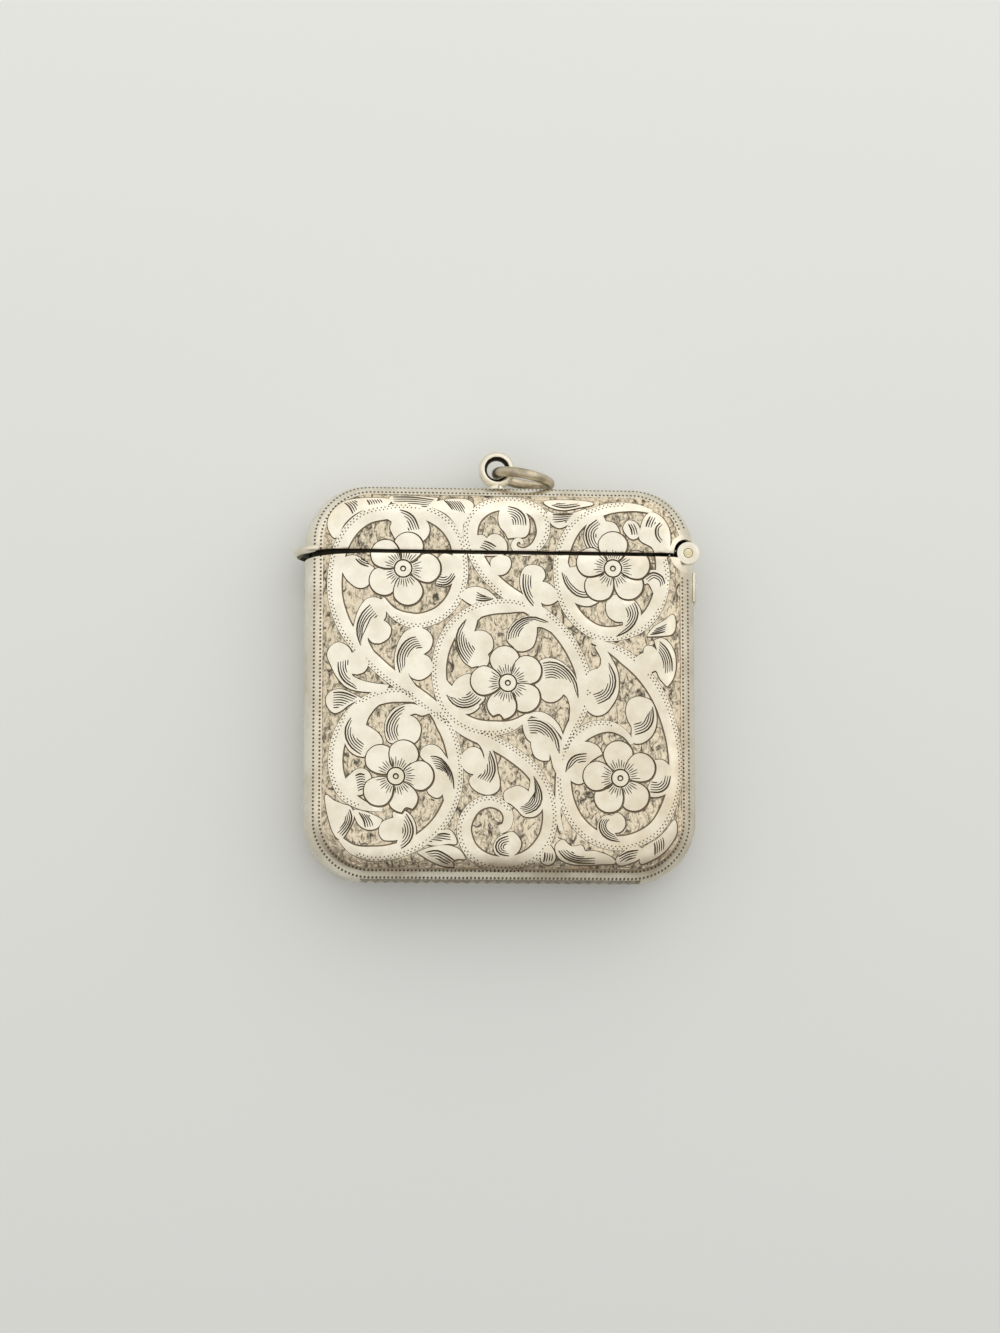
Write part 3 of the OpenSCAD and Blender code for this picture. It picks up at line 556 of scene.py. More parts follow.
     [(-7.0, -9.9), (-6.6, -9.9), (-6.1, -10.1), (-5.8, -10.6), (-5.35, -11.6)]),
    ([(-16.9, -11.2), (-16.2, -10.4), (-15.4, -9.8), (-14.6, -9.9), (-14.1, -10.6), (-14.1, -11.6, 1), (-14.6, -12.2),
      (-15.4, -12.5), (-16.2, -12.2), (-16.8, -11.8)],
     [(-15.7, -10.5), (-15.2, -10.3), (-14.7, -10.4)], [(-15.4, -12.2), (-14.9, -12.1), (-14.5, -11.9)]),
    ([(-11.6, -14.4), (-10.4, -14.3), (-9.6, -15.1), (-9.3, -16.4), (-9.8, -17.7), (-11.0, -18.5, 1), (-11.2, -17.7),
      (-11.0, -17.2, 1), (-11.8, -17.3), (-12.7, -17.2), (-13.1, -16.4), (-12.8, -15.5), (-12.0, -15.1),
      (-11.5, -15.0, 1)],
     [(-10.3, -14.5), (-9.7, -15.5), (-9.55, -16.6), (-10.0, -17.6), (-10.8, -18.2)],
     [(-10.4, -14.8), (-10.6, -15.6), (-10.7, -16.4), (-10.7, -17.1), (-10.9, -17.9)]),
    ([(-18.8, -12.6), (-18.0, -13.2), (-17.0, -13.6), (-16.2, -13.9), (-15.9, -14.9), (-16.4, -16.1), (-17.2, -17.2),
      (-17.9, -16.6), (-18.4, -15.2), (-18.7, -13.9)],
     [(-16.3, -14.1), (-16.05, -15.0), (-16.4, -16.0), (-17.1, -16.9)],
     [(-16.8, -15.0), (-17.0, -15.5), (-17.3, -16.0), (-17.6, -16.6)]),
    ([(-15.8, -14.2), (-14.6, -14.4), (-13.4, -14.9), (-12.9, -15.2, 1), (-13.4, -16.0), (-14.4, -16.15),
      (-15.2, -15.7), (-15.6, -15.0)],
     [(-15.3, -14.4), (-14.8, -15.2), (-14.6, -16.0)], [(-14.2, -14.7), (-13.9, -15.3), (-13.8, -15.9)]),
    ([(-9.0, -18.6, 1), (-7.6, -18.1), (-6.0, -17.9), (-4.7, -18.3), (-4.0, -19.2, 1), (-4.9, -19.2), (-5.4, -19.6),
      (-5.2, -20.0, 1), (-6.2, -19.9), (-7.4, -19.5), (-8.3, -19.0)],
     [(-8.2, -18.6), (-7.0, -18.4), (-5.9, -18.9), (-5.0, -19.5)],
     [(-7.7, -19.0), (-7.0, -19.3), (-6.4, -19.6), (-5.8, -19.8)]),
    ([(-6.9, -16.5), (-5.8, -16.2), (-5.2, -16.8), (-5.0, -17.6), (-5.8, -17.6), (-7.2, -17.8), (-8.3, -17.6, 1),
      (-7.6, -17.0)],
     [(-7.0, -16.7), (-6.3, -16.6), (-5.6, -16.7)], [(-7.9, -17.5), (-6.8, -17.4), (-5.5, -17.4)]),
    ([(-18.8, -2.2), (-18.3, -1.5), (-17.3, -1.3), (-16.2, -1.7), (-15.2, -2.2, 1), (-16.4, -2.8), (-17.3, -3.5),
      (-18.0, -3.7), (-18.6, -3.1)],
     [(-18.1, -1.6), (-17.0, -1.6), (-15.6, -2.1)],
     [(-18.1, -3.4), (-17.2, -3.1), (-16.0, -2.5)]),
    ([(-1.9, -6.6), (-1.1, -7.8), (-0.75, -9.0), (-0.6, -10.0), (-0.4, -10.9), (-0.5, -11.8), (-1.3, -12.3),
      (-2.3, -12.2), (-3.2, -11.6), (-3.5, -10.8), (-2.9, -10.2, 1), (-3.8, -9.9), (-4.4, -9.0), (-4.2, -8.0),
      (-3.4, -7.4), (-2.5, -7.6), (-2.1, -8.5), (-2.0, -9.2, 1), (-1.9, -8.2), (-2.3, -7.2), (-3.0, -6.5, 1)],
     [(-1.4, -7.7), (-0.95, -8.8), (-0.85, -10.0), (-1.4, -11.1)],
     [(-1.5, -8.4), (-1.75, -9.4), (-2.2, -10.1), (-3.0, -10.5)]),
    # lower right ring
    ([(10.6, 3.9), (11.5, 2.6), (12.2, 1.2), (12.4, 0.0), (12.3, -1.4), (11.7, -2.6), (10.9, -3.5), (9.9, -3.7),
      (9.0, -3.0), (9.0, -2.0), (9.7, -1.4, 1), (9.1, -0.7), (9.0, 0.2), (9.5, 1.0), (10.2, 1.2, 1), (10.6, 1.7),
      (10.6, 2.5), (10.0, 3.6, 1)],
     [(11.4, 1.9), (12.05, 0.6), (12.05, -0.7), (11.4, -1.9), (10.2, -2.5)],
     [(11.4, 1.5), (11.4, 0.2), (11.1, -0.6), (10.5, -1.1), (9.6, -1.4)]),
    ([(15.0, -1.8), (15.9, -2.2), (16.4, -3.4), (16.4, -4.8), (15.9, -5.9), (15.0, -6.6), (14.2, -6.7, 1),
      (13.9, -6.0), (13.9, -5.0), (13.5, -4.2), (13.3, -3.2), (13.6, -2.2), (14.3, -1.8)],
     [(16.1, -2.8), (16.15, -4.2), (15.5, -5.3), (14.2, -5.8)],
     [(15.6, -3.6), (15.3, -4.1), (14.8, -4.4), (14.0, -4.4)]),
    ([(6.6, -10.3, 1), (6.8, -9.1), (7.1, -7.9), (7.9, -7.0), (9.0, -6.7), (10.1, -7.1), (10.6, -7.9, 1), (9.9, -8.3),
      (9.2, -8.9), (9.3, -9.8), (9.0, -10.6), (8.2, -11.1), (7.4, -10.8), (7.1, -10.2)],
     [(6.75, -9.9), (7.05, -8.8), (7.8, -8.1), (9.0, -7.9)],
     [(7.2, -9.4), (7.7, -9.0), (8.2, -8.9), (8.9, -8.9)]),
    ([(16.3, -8.6), (17.2, -8.6), (17.9, -9.3), (18.2, -10.4), (17.9, -11.6), (17.0, -12.3), (15.9, -12.4),
      (15.5, -11.8), (15.9, -10.8), (15.9, -9.8), (16.0, -9.0)],
     [(18.0, -10.2), (17.7, -11.3), (16.9, -11.95), (15.8, -11.95)],
     [(17.4, -10.2), (17.1, -10.7), (16.6, -10.9), (15.9, -10.8)]),
    ([(10.9, -14.6), (10.3, -15.2), (10.2, -16.1), (10.8, -17.0), (11.9, -17.4), (13.2, -17.3), (12.3, -16.9),
      (11.8, -16.3, 1), (12.5, -16.2), (13.0, -15.6), (12.9, -14.8), (12.3, -14.3), (11.7, -14.6, 1)],
     [(10.6, -14.9), (10.3, -15.6), (10.6, -16.5), (11.4, -17.1), (12.5, -17.3)],
     [(11.5, -14.9), (11.2, -15.3), (11.1, -15.7), (11.3, -16.1), (11.8, -16.4)]),
    ([(3.1, -9.9), (3.9, -11.0), (4.3, -12.4), (4.2, -13.8), (3.4, -14.6), (2.3, -14.6), (1.6, -13.9, 1),
      (0.9, -13.3), (0.3, -13.0), (0.2, -12.2), (0.9, -11.7), (1.7, -11.5), (2.4, -11.8), (2.8, -12.2, 1),
      (3.0, -11.2)],
     [(3.3, -10.4), (4.0, -11.7), (4.15, -13.0), (3.5, -14.0), (2.4, -14.4)],
     [(3.5, -11.9), (3.3, -12.6), (2.9, -13.1), (2.4, -13.4), (1.7, -13.7)]),
    ([(1.0, -16.4), (0.4, -16.6), (-0.4, -17.0), (-0.9, -17.8), (-0.7, -18.6), (0.1, -19.0), (0.9, -18.9),
      (1.6, -18.4), (1.9, -17.6), (1.6, -16.9)],
     [(0.6, -16.8), (-0.4, -17.2), (-0.75, -18.0), (-0.3, -18.7), (0.7, -18.9)],
     [(0.7, -17.6), (0.4, -17.7), (0.2, -18.0), (0.3, -18.3), (0.6, -18.5)]),
    ([(5.7, -17.8), (6.4, -17.2), (7.3, -17.9), (8.4, -17.8), (8.8, -18.4), (9.9, -18.4), (11.4, -18.9),
      (12.0, -19.5), (10.6, -19.6), (9.0, -19.7), (7.4, -19.6), (6.3, -19.2), (5.8, -18.6)],
     [(5.95, -18.3), (6.7, -19.1), (8.0, -19.55), (9.9, -19.6)],
     [(7.0, -18.2), (7.7, -18.6), (8.6, -18.9), (9.9, -19.0)]),
    ([(14.9, -18.2), (15.6, -17.6), (16.6, -17.0), (17.6, -16.0), (18.4, -15.0), (18.6, -16.2), (18.0, -17.4),
      (17.0, -18.5), (15.8, -19.2), (14.8, -19.5)],
     [(16.2, -17.4), (16.3, -17.9), (16.3, -18.7)],
     [(17.3, -16.7), (17.4, -17.4), (17.2, -18.1)]),
    ([(12.2, -19.2), (13.0, -18.4), (14.0, -17.9), (14.9, -18.1), (14.6, -19.0), (13.6, -19.5), (12.6, -19.7)],
     [(12.4, -18.9), (13.4, -18.4), (14.5, -18.2)], [(12.6, -19.6), (13.3, -19.3), (14.2, -19.0)]),
    ([(4.9, -17.8), (5.5, -18.6), (5.5, -19.3), (5.0, -19.7), (4.3, -19.5), (4.2, -18.9)],
     [(4.5, -18.5), (4.5, -19.0), (4.4, -19.5)], [(5.4, -18.7), (5.4, -19.1), (5.3, -19.4)]),
]

# Flowers: middle, and each petal's turn in degrees with 1 for a notched tip
FLOWERS = [
    (0.55, -0.35, [(98, 0), (34, 0), (-40, 0), (-105, 1), (175, 0)]),
    (-10.7, 11.9, [(213, 0), (-78, 0), (2, 0), (77, 0), (141, 0)]),
    (11.9, 12.2, [(233, 0), (-47, 0), (10, 0), (90, 0), (165, 0)]),
    (-11.4, -10.5, [(133, 0), (71, 0), (2, 0), (-72, 1), (221, 0)]),
    (12.6, -10.5, [(95, 0), (28, 0), (-53, 0), (240, 0), (175, 0)]),
]


def draw_ornament():
    """The whole engraving of one face, lid and body together."""
    o = Ornament()
    o.paint(GROUND, rounded(*GROUND_PLATE, 24))
    bands = [o.band(*b) for b in BANDS]
    leaves = [(grown(lobed(edge), LEAF_GROWTH), shading) for edge, *shading in LEAVES]
    for leaf, _ in leaves:
        o.outline(leaf)
    for band, _ in bands:
        o.paint(SILVER, band)
    for _, course in bands:
        o.margin_dots(*course)
    for leaf, _ in leaves:
        o.fill(leaf)
    for _, shading in leaves:
        if shading:
            o.shade(*shading)
    for f in FLOWERS:
        o.flower(*f)
    o.paint(SILVER, circle(PIN.x, PIN.y, HINGE_SILVER, 48))
    for hx, hy, r, phase in BORDER_ROWS:
        loop = rounded(hx, hy, r, 20)
        loop = loop + loop[:1]
        count = int(lengths(loop)[-1] / DOT_PITCH)
        for x, y in part_of(loop, phase / count, 1 + (phase - 1) / count, count):
            if math.dist((x, y), PIN[:2]) > HINGE_ROOM:
                o.dot(x, y, BORDER_DOT)
    return o


def depth_inside(x, y, corner):
    """Distance of a point inside the case's rounded outline."""
    ax, ay = abs(x) - (HALF_W - corner), abs(y) - (HALF_H - corner)
    if ax > 0 and ay > 0:
        return corner - math.hypot(ax, ay)
    return min(HALF_W - abs(x), HALF_H - abs(y))


def wound(points, outline):
    """Which points a closed outline goes round, also where it crosses itself."""
    x, y = points[:, :1], points[:, 1:]
    x1, y1 = outline[:, 0], outline[:, 1]
    x2, y2 = np.roll(x1, -1), np.roll(y1, -1)
    side = (x2 - x1) * (y - y1) - (x - x1) * (y2 - y1)
    rising = (y1 <= y) & (y2 > y) & (side > 0)
    falling = (y1 > y) & (y2 <= y) & (side < 0)
    return rising.sum(axis=1) != falling.sum(axis=1)


def surface_kinds(centres, shapes):
    """Kind of surface at each centre: that of the last shape painted over it."""
    kinds = np.full(len(centres), PLAIN)
    order = np.argsort(centres[:, 0])
    across = centres[order, 0]
    for kind, shape in shapes:
        outline = np.array(shape)
        low, high = outline.min(axis=0), outline.max(axis=0)
        first, last = np.searchsorted(across, (low[0], high[0]))
        near = order[first:last]
        near = near[(centres[near, 1] > low[1]) & (centres[near, 1] < high[1])]
        for some in np.array_split(near, len(near) // 3000 + 1):
            if len(some):
                kinds[some[wound(centres[some], outline)]] = kind
    return kinds.tolist()


class EngravedFace:
    """Triangles of the engraved front of the lid or of the body, in millimetres."""

    CORNER_SIDES = 32
    OUTLINE_STEP = 1.0
    ROUND_STEP = 6
    DOTS_PER_MM2 = 14
    PIT_DEPTHS = (0.45, 1.6)
    WORN_EDGE = 0.3
    WORN_DROP = 0.14
    WORN_POINTS = 80
    SAW_MARK = 0.06

    def __init__(self, ornament, sizes, bottom, top, cut_edge):
        self.corner, self.edge = sizes.corner / MM, sizes.edge / MM
        self.depths = {GROUND: sizes.ground_depth / MM, CUT: sizes.line_depth / MM, HATCH: sizes.hatch_depth / MM}
        self.cut_edge = cut_edge
        self.rng = random.Random(sizes.seed)
        self.bottom, self.top = bottom, top
        self.points, self.edges = [], []
        self.add_loop(self.kept(self.inset_outline(0.0)))
        for step in range(self.ROUND_STEP, 90, self.ROUND_STEP):
            self.add_loop(self.inset_outline(self.edge * (1 - math.sin(math.radians(step)))))
        away = 1 if cut_edge == bottom else -1
        self.shapes = [shape for shape in ornament.shapes if self.crosses(shape[1])]
        mark = cut_edge + away * self.SAW_MARK
        self.shapes.append((CUT, [(-HALF_W, cut_edge), (HALF_W, cut_edge), (HALF_W, mark), (-HALF_W, mark)]))
        for _, shape in self.shapes:
            self.add_loop(shape)
        for line in ornament.grooves:
            if self.crosses(line):
                self.add_loop(line, closed=False)
        worn = cut_edge + away * self.WORN_EDGE
        count = self.WORN_POINTS
        self.add_loop([(-HALF_W + 2 * HALF_W * i / count, worn) for i in range(count + 1)], closed=False)
        self.triangulate()
        self.add_matting()
        self.triangulate()

    def inset_outline(self, inset):
        """The case's outline, moved inwards."""
        return rounded(HALF_W - inset, HALF_H - inset, self.corner - inset, self.CORNER_SIDES, self.OUTLINE_STEP)

    def crosses(self, line):
        """Whether a line has a part on this side of the saw cut."""
        return min(y for x, y in line) < self.top and max(y for x, y in line) > self.bottom

    def kept(self, outline):
        """The part of the outline on this side of the saw cut, which crosses the straight sides."""
        right, left = (HALF_W, self.cut_edge), (-HALF_W, self.cut_edge)
        if self.cut_edge == self.bottom:
            return [p for p in outline if p[1] > self.bottom] + [left, right]
        start = next(i for i, p in enumerate(outline) if p[0] < 0 and p[1] < self.top)
        turned = outline[start:] + outline[:start]
        return [left] + [p for p in turned if p[1] < self.top] + [right]

    def add_loop(self, line, closed=True):
        first = len(self.points)
        self.points += [Vector(p) for p in line]
        last = len(self.points) - 1
        self.edges += [(i, i + 1) for i in range(first, last)]
        if closed:
            self.edges.append((last, first))

    def triangulate(self):
        """Triangles between all the lines, with the kind of surface of each."""
        flat, _, triangles, _, _, _ = delaunay_2d_cdt(self.points, self.edges, [], 0, 1e-5, True)
        centres = np.array([tuple(p) for p in flat])[np.array(triangles)].mean(axis=1)
        inside = [self.bottom < y < self.top and depth_inside(x, y, self.corner) > 0 for x, y in centres]
        self.flat = flat
        self.triangles = [triangle for triangle, keep in zip(triangles, inside) if keep]
        self.surface = surface_kinds(centres[np.array(inside)], self.shapes)

    def add_matting(self):
        """Random points in the ground, which get uneven depths."""
        for triangle, kind in zip(self.triangles, self.surface):
            if kind != GROUND:
                continue
            a, b, c = (self.flat[i] for i in triangle)
            size = abs((b - a).cross(c - a)) / 2
            for _ in range(int(size * self.DOTS_PER_MM2 + self.rng.random())):
                u, v = self.rng.random(), self.rng.random()
                if u + v > 1:
                    u, v = 1 - u, 1 - v
                self.points.append(a + (b - a) * u + (c - a) * v)

    def height(self, x, y, depth):
        inside = max(depth_inside(x, y, self.corner), 0.0)
        past = max(self.edge - inside, 0.0)
        worn = max(1 - abs(y - self.cut_edge) / self.WORN_EDGE, 0.0)
        rise = math.sqrt(max(self.edge ** 2 - past ** 2, 0.0))
        return max(THICK - self.edge + rise - depth - self.WORN_DROP * worn ** 2, SEAM)

    def mesh(self, name, back):
        """The face and its side walls, closed at the seam."""
        touching = [set() for _ in self.flat]
        for triangle, kind in zip(self.triangles, self.surface):
            for i in triangle:
                touching[i].add(kind)
        bm = bmesh.new()
        made = {}
        for i, (point, kinds) in enumerate(zip(self.flat, touching)):
            if not kinds:
                continue
            depth = 0.0
            if not kinds & {SILVER, PLAIN}:
                depth = self.depths[GROUND if GROUND in kinds else CUT if CUT in kinds else HATCH]
                if kinds == {GROUND}:
                    depth *= self.rng.uniform(*self.PIT_DEPTHS)
            z = self.height(point.x, point.y, depth)
            made[i] = bm.verts.new(Vector((point.x, point.y, THICK - z if back else z)) * MM)
        for triangle, kind in zip(self.triangles, self.surface):
            corners = [made[i] for i in triangle]
            face = bm.faces.new(reversed(corners) if back else corners)
            face.material_index = kind
            face.smooth = kind != GROUND
        rim = [e for e in bm.edges if e.is_boundary]
        walls = bmesh.ops.extrude_edge_only(bm, edges=rim)["geom"]
        for face in (f for f in walls if isinstance(f, bmesh.types.BMFace)):
            # Walls at the saw cut get painted shade, for the gap between lid and body.
            sawn = all(abs(v.co.y / MM - self.cut_edge) < 1e-3 for v in face.verts)
            face.material_index = SAWN_IN_SHADE if sawn else PLAIN
            face.smooth = True
        foot = [v for v in walls if isinstance(v, bmesh.types.BMVert)]
        for v in foot:
            v.co.z = SEAM * MM
        base = bmesh.ops.contextual_create(bm, geom=[e for e in bm.edges if e.is_boundary])["faces"]
        for face in base:
            face.material_index = INSIDE
        bmesh.ops.remove_doubles(bm, verts=bm.verts, dist=1e-7)
        bmesh.ops.recalc_face_normals(bm, faces=bm.faces)
        mesh = bpy.data.meshes.new(name)
        bm.to_mesh(mesh)
        bm.free()
        return mesh


# Materials
def add_node(tree, kind, place, **values):
    made = tree.nodes.new(kind)
    made.location = place
    for key, value in values.items():
        if key in made.inputs:
            made.inputs[key].default_value = value
        else:
            setattr(made, key, value)
    return made


def spread(tree, place, source, low, high, to_low=0.0, to_high=1.0):
    """A value brought from one range to another."""
    made = add_node(tree, "ShaderNodeMapRange", place)
    for socket, value in zip(made.inputs[1:5], (low, high, to_low, to_high)):
        socket.default_value = value
    tree.links.new(source, made.inputs[0])
    return made.outputs[0]


def mixed(tree, place, factor, a, b):
    """Two colours mixed by a mask; a colour is a value or a socket."""
    made = add_node(tree, "ShaderNodeMix", place, data_type="RGBA")
    tree.links.new(factor, made.inputs[0])
    for socket, value in ((made.inputs[6], a), (made.inputs[7], b)):
        if isinstance(value, bpy.types.NodeSocket):
            tree.links.new(value, socket)
        else:
            socket.default_value = (*value, 1.0)
    return made.outputs[2]


# Turns of the two crossing courses of scratches and of the ground's streaks, in radians
STREAK_TURNS = (0.5, -0.9)


def turned_noise(tree, place, vector, turn, stretch, **values):
    """Noise on turned and stretched coordinates."""
    turned = add_node(tree, "ShaderNodeMapping", (place[0] - 200, place[1]))
    turned.inputs["Rotation"].default_value = (0.0, 0.0, turn)
    turned.inputs["Scale"].default_value = stretch
    noise = add_node(tree, "ShaderNodeTexNoise", place, **values)
    tree.links.new(vector, turned.inputs["Vector"])
    tree.links.new(turned.outputs[0], noise.inputs["Vector"])
    return noise


def wear_and_painted_shade():
    """Node group for handled metal: clouds of tarnish, fine scratches and their height, and a painted shade that grows
    towards the lower right.
    """
    found = bpy.data.node_groups.get("Wear and painted shade")
    if found:
        return found
    tree = bpy.data.node_groups.new("Wear and painted shade", "ShaderNodeTree")
    tree.interface.new_socket("Vector", in_out="INPUT", socket_type="NodeSocketVector")
    for name in ("Cloud scale", "Scratch scale"):
        tree.interface.new_socket(name, in_out="INPUT", socket_type="NodeSocketFloat")
    for name in ("Cloud", "Scratch", "Height", "Age"):
        tree.interface.new_socket(name, in_out="OUTPUT", socket_type="NodeSocketFloat")
    start = add_node(tree, "NodeGroupInput", (-900, 0))
    end = add_node(tree, "NodeGroupOutput", (700, 0))
    cloud = add_node(tree, "ShaderNodeTexNoise", (-500, 250), Detail=5.0, Roughness=0.6)
    tree.links.new(start.outputs["Vector"], cloud.inputs["Vector"])
    tree.links.new(start.outputs["Cloud scale"], cloud.inputs["Scale"])
    tree.links.new(spread(tree, (-250, 250), cloud.outputs[0], 0.38, 0.7), end.inputs["Cloud"])
    lines = []
    for turn, y in zip(STREAK_TURNS, (0, -300)):
        grain = turned_noise(tree, (-500, y), start.outputs["Vector"], turn, (1.0, 22.0, 1.0),
                             Detail=2.0, Roughness=0.5)
        tree.links.new(start.outputs["Scratch scale"], grain.inputs["Scale"])
        lines.append(spread(tree, (-250, y), grain.outputs[0], 0.66, 0.74))
    both = add_node(tree, "ShaderNodeMath", (0, -100), operation="MAXIMUM")
    for source, socket in zip(lines, both.inputs):
        tree.links.new(source, socket)
    tree.links.new(both.outputs[0], end.inputs["Scratch"])
    low = add_node(tree, "ShaderNodeMath", (250, -100), operation="SUBTRACT")
    tree.links.new(cloud.outputs[0], low.inputs[0])
    tree.links.new(both.outputs[0], low.inputs[1])
    tree.links.new(low.outputs[0], end.inputs["Height"])
    # Painted shade: a share that grows towards the lower right of the case.
    slant = add_node(tree, "ShaderNodeVectorMath", (-500, -600), operation="DOT_PRODUCT")
    slant.inputs[1].default_value = (0.6, -0.8, 0.0)
    tree.links.new(start.outputs["Vector"], slant.inputs[0])
    tree.links.new(spread(tree, (-250, -600), slant.outputs["Value"], -0.012, 0.026), end.inputs["Age"])
    return tree


def new_material(name):
    made = bpy.data.materials.new(name)
    made.use_nodes = True
    return made, made.node_tree, made.node_tree.nodes["Principled BSDF"]


def metal(name, bright, dull, gloss, matt, dull_share, cloud=420.0, lower_right_shade=0.0):
    """A worn metal whose colour and gloss follow the handled-metal group, darkened by its last share as painted shade
    towards the lower right; gloss and matt are roughnesses.
    """
    found = bpy.data.materials.get(name)
    if found:
        return found
    made, tree, shader = new_material(name)
    shader.inputs["Metallic"].default_value = 1.0
    place = add_node(tree, "ShaderNodeTexCoord", (-1100, 0))
    wear_and_shade = add_node(tree, "ShaderNodeGroup", (-850, 0), node_tree=wear_and_painted_shade())
    wear_and_shade.inputs["Cloud scale"].default_value = cloud
    wear_and_shade.inputs["Scratch scale"].default_value = 500.0
    tree.links.new(place.outputs["Object"], wear_and_shade.inputs["Vector"])
    clouds = spread(tree, (-650, 350), wear_and_shade.outputs["Cloud"], 0.0, 1.0, 0.0, dull_share)
    # the tarnish clouds plus the painted shade towards the lower right, as the share of the dull colour
    share = add_node(tree, "ShaderNodeMath", (-450, 250), operation="MULTIPLY_ADD", use_clamp=True)
    share.inputs[1].default_value = lower_right_shade
    tree.links.new(wear_and_shade.outputs["Age"], share.inputs[0])
    tree.links.new(clouds, share.inputs[2])
    tree.links.new(mixed(tree, (-250, 250), share.outputs[0], bright, dull), shader.inputs["Base Color"])
    tree.links.new(spread(tree, (-300, 0), wear_and_shade.outputs["Cloud"], 0.0, 1.0, gloss, matt), shader.inputs["Roughness"])
    relief = add_node(tree, "ShaderNodeBump", (-300, -250), Strength=0.1, Distance=0.00003)
    tree.links.new(wear_and_shade.outputs["Height"], relief.inputs["Height"])
    tree.links.new(relief.outputs[0], shader.inputs["Normal"])
    return made


def matted(name, bright, dull):
    """The cut ground: short crossing streaks, dark in the pits and bright on the crests."""
    found = bpy.data.materials.get(name)
    if found:
        return found
    made, tree, shader = new_material(name)
    shader.inputs["Metallic"].default_value = 1.0
    place = add_node(tree, "ShaderNodeTexCoord", (-1300, 0))
    deep = add_node(tree, "ShaderNodeMath", (-600, 100), operation="MINIMUM")
    for turn, y, socket in zip(STREAK_TURNS, (250, -100), deep.inputs):
        streak = turned_noise(tree, (-820, y), place.outputs["Object"], turn, (1.7, 1.0, 1.0),
                              Scale=800.0, Detail=5.0, Roughness=0.7, Distortion=1.3)
        tree.links.new(streak.outputs[0], socket)
    share = spread(tree, (-350, 200), deep.outputs[0], 0.37, 0.5)
    tree.links.new(mixed(tree, (-150, 250), share, dull, bright), shader.inputs["Base Color"])
    tree.links.new(spread(tree, (-150, 0), share, 0.0, 1.0, 0.55, 0.34), shader.inputs["Roughness"])
    relief = add_node(tree, "ShaderNodeBump", (-150, -250), Strength=0.8, Distance=0.00006)
    tree.links.new(deep.outputs[0], relief.inputs["Height"])
    tree.links.new(relief.outputs[0], shader.inputs["Normal"])
    return made


def scaled(colour_value, by):
    return tuple(min(c * by, 1.0) for c in colour_value)


def plain_silver(c):
    # the last argument is painted shade towards the lower right
    return metal("plain silver", scaled(c.silver, 0.97), scaled(c.tarnish, 0.85), gloss=0.24, matt=0.4,
                 dull_share=0.6, cloud=260.0, lower_right_shade=0.5)


# Painted shade: tarnish darkened to near black, for faces in gaps, hollows and undersides where shade falls.
def painted_shade_silver(c):
    return metal("painted shade silver", scaled(c.tarnish, 0.1), scaled(c.tarnish, 0.03), gloss=0.5, matt=0.7, dull_share=0.8)


def shell_materials(c):
    """Materials of an engraved shell, in the order of its kinds of surface."""
    return (
        matted("matted ground", scaled(c.ground, 1.14), scaled(c.ground, 0.17)),
        # the last argument is painted shade towards the lower right
        metal("bright silver", c.silver, c.tarnish, gloss=0.22, matt=0.36, dull_share=0.5, lower_right_shade=0.6),
        metal("engraved line", c.line, scaled(c.line, 0.5), gloss=0.45, matt=0.6, dull_share=0.6),
        metal("fine stroke", c.hatch, scaled(c.hatch, 0.55), gloss=0.4, matt=0.55, dull_share=0.6),
        plain_silver(c),
        metal("inner silver", scaled(c.silver, 0.8), scaled(c.tarnish, 0.7), gloss=0.38, matt=0.55,
              dull_share=0.8, cloud=180.0),
        # painted shade, for the sawn walls in the gap between lid and body
        painted_shade_silver(c),
    )


# Modelling
def clear_selection():
    bpy.ops.object.select_all(action="DESELECT")


def pick(piece):
    clear_selection()
    piece.select_set(True)
    bpy.context.view_layer.objects.active = piece


@contextmanager
def edit_mode(piece):
    """All of a piece selected in edit mode."""
    pick(piece)
    bpy.ops.object.mode_set(mode="EDIT")
    bpy.ops.mesh.select_all(action="SELECT")
    try:
        yield
    finally:
        bpy.ops.object.mode_set(mode="OBJECT")


def round_edges(piece, chosen, width, segments):
    """Bevels the edges that a test picks."""
    with edit_mode(piece):
        bm = bmesh.from_edit_mesh(piece.data)
        bpy.ops.mesh.select_all(action="DESELECT")
        bpy.ops.mesh.select_mode(type="EDGE")
        for e in bm.edges:
            e.select = chosen(e)
        bmesh.update_edit_mesh(piece.data)
        bpy.ops.mesh.bevel(offset=width, segments=segments, affect="EDGES", clamp_overlap=False)


def primitive(kind, name, **settings):
    """A primitive of Blender at its size and place, with its place in its mesh."""
    clear_selection()
    scale = settings.pop("stretch", None)
    getattr(bpy.ops.mesh, f"primitive_{kind}_add")(**settings)
    made = bpy.context.object
    made.name = made.data.name = name
    if scale:
        made.scale = scale
    bpy.ops.object.transform_apply(location=True, rotation=True, scale=True)
    return made


def block(name, low, high):
    """A box between two corners in millimetres."""
    low, high = Vector(low) * MM, Vector(high) * MM
    return primitive("cube", name, size=1.0, location=(low + high) / 2, stretch=high - low)


def bar(name, radius, low, high, sides=96):
    """A round bar along Z on the pin's axis, in millimetres."""
    return primitive("cylinder", name, vertices=sides, radius=radius * MM, depth=(high - low) * MM,
                     location=(PIN.x * MM, PIN.y * MM, (low + high) / 2 * MM))


def apply_modifier(piece, kind, **settings):
    pick(piece)
    made = piece.modifiers.new(kind, kind)
    for key, value in settings.items():
        setattr(made, key, value)
    bpy.ops.object.modifier_apply(modifier=made.name)


def soften(piece, width, segments):
    """Wears the sharp edges of a piece by a width in millimetres."""
    apply_modifier(piece, "BEVEL", width=width * MM, segments=segments, limit_method="ANGLE",
                   angle_limit=math.radians(30), use_clamp_overlap=True)


